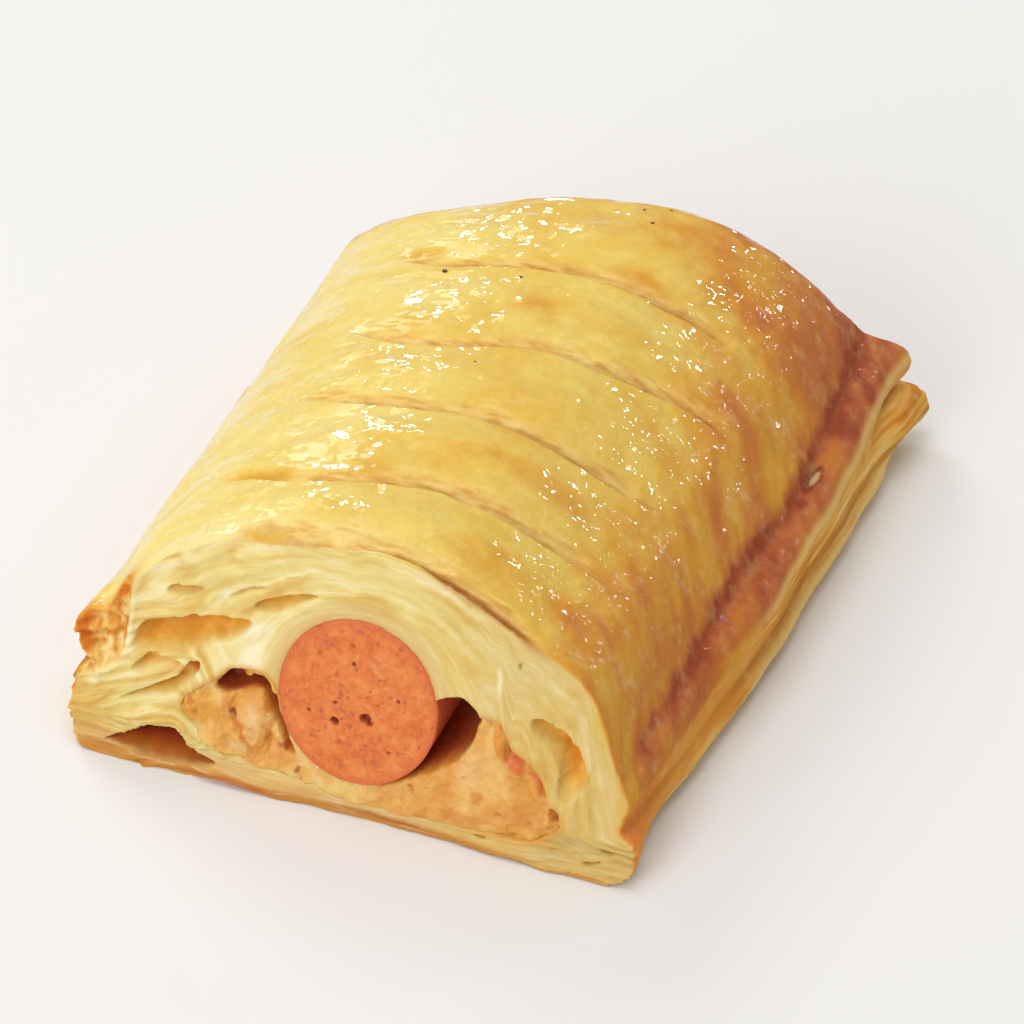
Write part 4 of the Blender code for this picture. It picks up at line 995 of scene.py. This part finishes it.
# ------------------------------------------------------------------ materials
class Nodes:
    """Short calls for building a shader."""

    def __init__(self, name):
        self.material = bpy.data.materials.new(name)
        self.material.use_nodes = True
        self.tree = self.material.node_tree
        self.shader = self.tree.nodes["Principled BSDF"]

    def put(self, socket, value):
        if isinstance(value, bpy.types.NodeSocket):
            self.tree.links.new(value, socket)
        elif value is not None:
            socket.default_value = value

    def add(self, kind, inputs=None, out=0, **settings):
        node = self.tree.nodes.new(kind)
        for key, value in settings.items():
            setattr(node, key, value)
        for key, value in (inputs or {}).items():
            self.put(node.inputs[key], value)
        return node.outputs[out]

    def attr(self, name):
        return self.add("ShaderNodeAttribute", attribute_name=name, out=2)

    def tint(self, name):
        return self.add("ShaderNodeAttribute", attribute_name=name, out=0)

    def mixf(self, t, a, b):
        node = self.tree.nodes.new("ShaderNodeMix")
        node.data_type = "FLOAT"
        for i, value in enumerate((t, None, a, b)):
            self.put(node.inputs[i], value)
        return node.outputs[0]

    def math(self, op, a, b=None, c=None, clamp=False):
        return self.add("ShaderNodeMath", {0: a, 1: b, 2: c}, operation=op, use_clamp=clamp)

    def mix(self, t, a, b, kind="MIX"):
        node = self.tree.nodes.new("ShaderNodeMix")
        node.data_type = "RGBA"
        node.blend_type = kind
        self.put(node.inputs[0], t)
        self.put(node.inputs[6], colour(a))
        self.put(node.inputs[7], colour(b))
        return node.outputs[2]

    def ramp(self, t, stops, smooth_it=False):
        node = self.tree.nodes.new("ShaderNodeValToRGB")
        node.color_ramp.interpolation = "EASE" if smooth_it else "LINEAR"
        for i, (at, rgb) in enumerate(stops):
            stop = node.color_ramp.elements[i] if i < 2 else node.color_ramp.elements.new(at)
            stop.position = at
            stop.color = colour(rgb)
        self.put(node.inputs[0], t)
        return node.outputs[0]

    def span(self, t, low, high, a=0.0, b=1.0):
        return self.add("ShaderNodeMapRange", {0: t, 1: low, 2: high, 3: a, 4: b}, clamp=True)

    def coords(self, scale=(1, 1, 1)):
        where = self.add("ShaderNodeTexCoord", out=3)
        return self.add("ShaderNodeMapping", {0: where, 3: scale})

    def noise(self, size_mm, detail=2.0, rough=0.5, stretch=(1, 1, 1), distortion=0.0):
        scale = tuple(1000.0 / size_mm / s for s in stretch)
        return self.add(
            "ShaderNodeTexNoise",
            {"Vector": self.coords(scale), "Scale": 1.0, "Detail": detail, "Roughness": rough, "Distortion": distortion},
        )

    def cells(self, size_mm, feature="F1", out=0, stretch=(1, 1, 1)):
        scale = tuple(1000.0 / size_mm / s for s in stretch)
        return self.add("ShaderNodeTexVoronoi", {"Vector": self.coords(scale), "Scale": 1.0}, feature=feature, out=out)

    def bump(self, height, distance_mm, strength=1.0, normal=None):
        return self.add("ShaderNodeBump", {"Height": height, "Distance": distance_mm * MM, "Strength": strength, "Normal": normal})


def colour(c):
    """sRGB 0 to 255 to a linear socket colour."""
    if isinstance(c, bpy.types.NodeSocket):
        return c
    return tuple((v / 255 / 12.92 if v <= 10 else ((v / 255 + 0.055) / 1.055) ** 2.4) for v in c) + (1.0,)


def pastry_material():
    n = Nodes("baked_pastry")
    crust, gloss, layers, leafy, tint = n.attr("crust"), n.attr("gloss"), n.attr("layers"), n.attr("leafy"), n.tint("tint")
    glint = n.attr("glint")
    fine = n.noise(0.8, 3, 0.6)
    soft = n.noise(3.0, 3, 0.55)

    # thin streaks that follow the layers on the cut
    place = n.add("ShaderNodeTexCoord", out=3)
    parts = n.tree.nodes.new("ShaderNodeSeparateXYZ")
    n.put(parts.inputs[0], place)
    along = n.add("ShaderNodeCombineXYZ", {0: n.math("MULTIPLY", layers, 3.4), 1: n.math("MULTIPLY", parts.outputs[0], 260.0), 2: n.math("MULTIPLY", parts.outputs[1], 300.0)})
    streaks = n.add("ShaderNodeTexNoise", {"Vector": along, "Scale": 1.0, "Detail": 4.0, "Roughness": 0.62})
    crumb = n.mix(n.math("MULTIPLY", leafy, n.span(streaks, 0.36, 0.50, 0.22, 0.0)), tint, (218, 176, 104))
    crumb = n.mix(n.math("MULTIPLY", leafy, n.span(streaks, 0.52, 0.68, 0.0, 0.26)), crumb, (252, 244, 204))

    # the crust: small darker flecks and paler blisters
    crusty = n.mix(n.span(fine, 0.50, 0.72, 0.0, 0.16), tint, (206, 138, 52))
    crusty = n.mix(n.span(soft, 0.46, 0.30, 0.0, 0.18), crusty, (248, 224, 136))
    n.put(n.shader.inputs["Base Color"], n.mix(crust, crumb, crusty))

    rough = n.math("ADD", n.math("MULTIPLY", n.noise(2.0, 3, 0.6), 0.30), 0.48)
    rough = n.mixf(gloss, 0.66, rough)
    n.put(n.shader.inputs["Roughness"], rough)
    patchy = n.span(n.noise(7.0, 3, 0.6), 0.38, 0.60, 0.20, 1.0)
    patchy = n.math("MULTIPLY", patchy, n.span(parts.outputs[0], 0.006, 0.022, 1.0, 0.30))
    spots = n.span(n.noise(1.25, 1, 0.4), 0.40, 0.50, 0.25, 1.0)
    patchy = n.math("ADD", patchy, n.math("MULTIPLY", glint, spots))
    n.put(n.shader.inputs["Coat Weight"], n.math("MULTIPLY", n.math("MULTIPLY", gloss, patchy), 0.9, clamp=True))
    n.shader.inputs["Coat Roughness"].default_value = 0.055
    n.shader.inputs["Coat IOR"].default_value = 1.38
    n.shader.inputs["Subsurface Weight"].default_value = 0.25
    n.shader.inputs["Subsurface Radius"].default_value = (1.0, 0.58, 0.24)
    n.shader.inputs["Subsurface Scale"].default_value = 0.0014
    n.shader.inputs["IOR"].default_value = 1.45
    n.shader.inputs["Specular IOR Level"].default_value = 0.08

    # relief: small lumps and pores on the crust, thin leaves on the cut
    lumps = n.math("ADD", n.math("MULTIPLY", n.noise(1.5, 4, 0.6), 0.75), n.math("MULTIPLY", n.noise(0.45, 3, 0.6), 0.22))
    leaves = n.math("ADD", n.math("MULTIPLY", streaks, 0.75), n.math("MULTIPLY", fine, 0.25))
    n.put(n.shader.inputs["Normal"], n.bump(n.mixf(crust, n.math("MULTIPLY", leaves, 0.6), lumps), 0.34, 0.7))
    # the glaze is smooth on the left and wrinkled on the right flank
    flank = n.span(parts.outputs[0], 0.006, 0.022, 0.22, 1.0)
    wrinkled = n.math("MULTIPLY", n.noise(2.2, 1, 0.4), n.math("MULTIPLY", flank, 1.5))
    wrinkled = n.math("ADD", wrinkled, n.math("MULTIPLY", n.noise(4.5, 1, 0.4, (1.6, 0.6, 1.0)), 1.2))
    wrinkled = n.math("ADD", wrinkled, n.math("MULTIPLY", n.noise(1.6, 1, 0.4), n.math("MULTIPLY", glint, 1.1)))
    n.put(n.shader.inputs["Coat Normal"], n.bump(wrinkled, 0.80, 1.0))
    return n.material


def filling_material():
    n = Nodes("cheese_filling")
    tint = n.tint("tint")
    fine, grain = n.noise(0.55, 3, 0.6), n.noise(1.6, 3, 0.6)
    mixed = n.mix(n.span(fine, 0.52, 0.70, 0.0, 0.16), tint, (246, 198, 108))
    mixed = n.mix(n.span(grain, 0.46, 0.30, 0.05, 0.26), mixed, (226, 136, 36))
    n.put(n.shader.inputs["Base Color"], mixed)
    n.put(n.shader.inputs["Roughness"], n.math("ADD", n.math("MULTIPLY", grain, 0.35), 0.22))
    n.shader.inputs["Subsurface Weight"].default_value = 0.3
    n.shader.inputs["Subsurface Radius"].default_value = (1.0, 0.5, 0.18)
    n.shader.inputs["Subsurface Scale"].default_value = 0.0015
    n.shader.inputs["Coat Weight"].default_value = 0.15
    n.shader.inputs["Coat Roughness"].default_value = 0.2
    n.put(n.shader.inputs["Normal"], n.bump(n.math("ADD", fine, n.math("MULTIPLY", grain, 0.8)), 0.30, 0.8))
    return n.material


def sausage_material():
    n = Nodes("frankfurter")
    tint, skin = n.tint("tint"), n.attr("skin")
    fine, grain = n.noise(0.35, 3, 0.65), n.noise(0.9, 3, 0.6)
    mixed = n.mix(n.span(fine, 0.56, 0.72, 0.0, 0.35), tint, (238, 168, 112))
    mixed = n.mix(n.span(grain, 0.40, 0.28, 0.0, 0.4), mixed, (194, 82, 44))
    n.put(n.shader.inputs["Base Color"], mixed)
    n.put(n.shader.inputs["Roughness"], n.mixf(skin, n.math("ADD", n.math("MULTIPLY", grain, 0.3), 0.30), 0.28))
    n.shader.inputs["Subsurface Weight"].default_value = 0.3
    n.shader.inputs["Subsurface Radius"].default_value = (1.0, 0.32, 0.14)
    n.shader.inputs["Subsurface Scale"].default_value = 0.0016
    n.put(n.shader.inputs["Normal"], n.bump(n.math("ADD", fine, grain), 0.12, 0.7))
    return n.material


# ------------------------------------------------------------------ camera, light and floor
def stage():
    e, a = math.radians(37.0), math.radians(20.0)
    back = Vector((math.sin(a) * math.cos(e), -math.cos(a) * math.cos(e), math.sin(e)))
    right = Vector((math.cos(a), math.sin(a), 0.0))
    up = (-back).cross(right) * -1
    # the spot that the photographed view was solved for, in the design frame
    ray = (-back * 2900.0 + right * (374 - 512) - up * (757 - 512)).normalized()
    eye = Vector(-ray * 805.0) + Vector(MOVE)
    aim = Vector((1.5, 47.0, 12.5)) + Vector(MOVE)
    data = bpy.data.cameras.new("camera")
    data.sensor_width = 36.0
    data.lens = 232.0
    data.clip_start, data.clip_end = 0.01, 20.0
    camera = bpy.data.objects.new("camera", data)
    look = (aim - eye).normalized()
    side_way = look.cross(Vector((0, 0, 1))).normalized()
    high = side_way.cross(look)
    turn = Matrix((side_way, high, -look)).transposed().to_4x4()
    camera.matrix_world = Matrix.Translation(eye * MM) @ turn
    bpy.context.scene.collection.objects.link(camera)
    bpy.context.scene.camera = camera

    def lamp(name, place, target, size, power, tint=(1, 1, 1)):
        light = bpy.data.lights.new(name, "AREA")
        light.shape = "DISK"
        light.size = size
        light.energy = power
        light.color = tint
        made = bpy.data.objects.new(name, light)
        made.location = place
        made.rotation_euler = (Vector(target) - Vector(place)).to_track_quat("-Z", "Y").to_euler()
        bpy.context.scene.collection.objects.link(made)
        # the spark lights show in the glaze only
        made.visible_diffuse = not name.startswith("spark")

    lamp("key", (-0.66, 0.56, 0.60), (0, 0, 0), 0.42, 2.5, (1.0, 0.96, 0.89))
    lamp("spark_left", (-0.50, 0.80, 0.42), (0, 0, 0.02), 0.10, 2.4, (1.0, 0.98, 0.94))
    lamp("spark_right", (0.42, 0.80, 0.46), (0, 0, 0.02), 0.17, 7.0, (1.0, 0.98, 0.94))
    lamp("front_fill", (-0.25, -0.90, 0.55), (0, 0, 0.01), 0.7, 4.2, (1.0, 0.96, 0.90))
    lamp("overhead", (-0.05, 0.0, 0.95), (0, 0, 0), 0.8, 3.6, (1.0, 0.96, 0.90))

    world = bpy.data.worlds.new("studio")
    world.use_nodes = True
    world.node_tree.nodes["Background"].inputs[0].default_value = (1.0, 0.965, 0.91, 1.0)
    world.node_tree.nodes["Background"].inputs[1].default_value = 0.40
    bpy.context.scene.world = world
    # plain colour, so that a baked yellow stays as yellow as its base colour
    bpy.context.scene.view_settings.view_transform = "Standard"

    mesh = bpy.data.meshes.new("floor")
    s = 1.6
    mesh.from_pydata([(-s, -s, 0), (s, -s, 0), (s, s, 0), (-s, s, 0)], [], [(0, 1, 2, 3)])
    floor = bpy.data.objects.new("floor", mesh)
    n = Nodes("floor_white")
    n.shader.inputs["Base Color"].default_value = (0.86, 0.88, 0.92, 1)
    n.shader.inputs["Roughness"].default_value = 0.9
    mesh.materials.append(n.material)
    bpy.context.scene.collection.objects.link(floor)


def place(made, node):
    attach(made, "root")
    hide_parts(node)


def pepper(read_top):
    """A few flecks of pepper baked onto the crust."""
    verts, faces = [], []
    rng = np.random.default_rng(9)
    for x, y, size in ((-15.2, 66.0, 0.42), (-5.2, 66.8, 0.24), (6.0, 84.0, 0.26), (3.9, 86.6, 0.22), (-3.6, 47.5, 0.2), (7.0, 88.2, 0.2)):
        z = float(read_top(np.array([x]), np.array([y]))[0])
        n = 10
        start = len(verts)
        for ring, (h, s) in enumerate(((0.42, 0.55), (0.1, 1.0), (-0.35, 0.8))):
            for i in range(n):
                a = 2 * math.pi * i / n
                w = size * s * (1 + 0.25 * rng.uniform(-1, 1))
                verts.append((x + w * math.cos(a), y + 0.8 * w * math.sin(a), z + h * size))
        verts.append((x, y, z + 0.5 * size))
        verts.append((x, y, z - 0.5 * size))
        for i in range(n):
            j = (i + 1) % n
            for ring in (0, n):
                a = start + ring
                faces.append((a + i, a + n + i, a + n + j))
                faces.append((a + i, a + n + j, a + j))
            faces.append((start + 3 * n, start + i, start + j))
            faces.append((start + 3 * n + 1, start + 2 * n + j, start + 2 * n + i))
    n = Nodes("pepper")
    n.put(n.shader.inputs["Base Color"], n.ramp(n.noise(0.25, 2, 0.5), [(0.3, (44, 26, 18)), (0.7, (96, 60, 38))]))
    n.put(n.shader.inputs["Roughness"], n.span(n.noise(0.3), 0.3, 0.7, 0.45, 0.7))
    return to_object("pepper_flecks", np.array(verts), [np.array(faces)], (), n.material)


def main():
    verts, faces, attributes = pastry()
    place(to_object("pastry_look", verts, faces, attributes, pastry_material()), "pastry")
    verts, faces, attributes = filling()
    place(to_object("filling_look", verts, faces, attributes, filling_material()), "filling")
    verts, quads, caps, attributes = sausage()
    place(to_object("sausage_look", verts, [quads, caps], attributes, sausage_material()), "sausage")
    xs, ys = np.arange(-30, 30, 0.5), np.arange(10, 92, 0.5)
    flecks = pepper(sampler(xs, ys, top_maps(xs, ys)[0]))
    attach(flecks, "root")
    stage()


main()
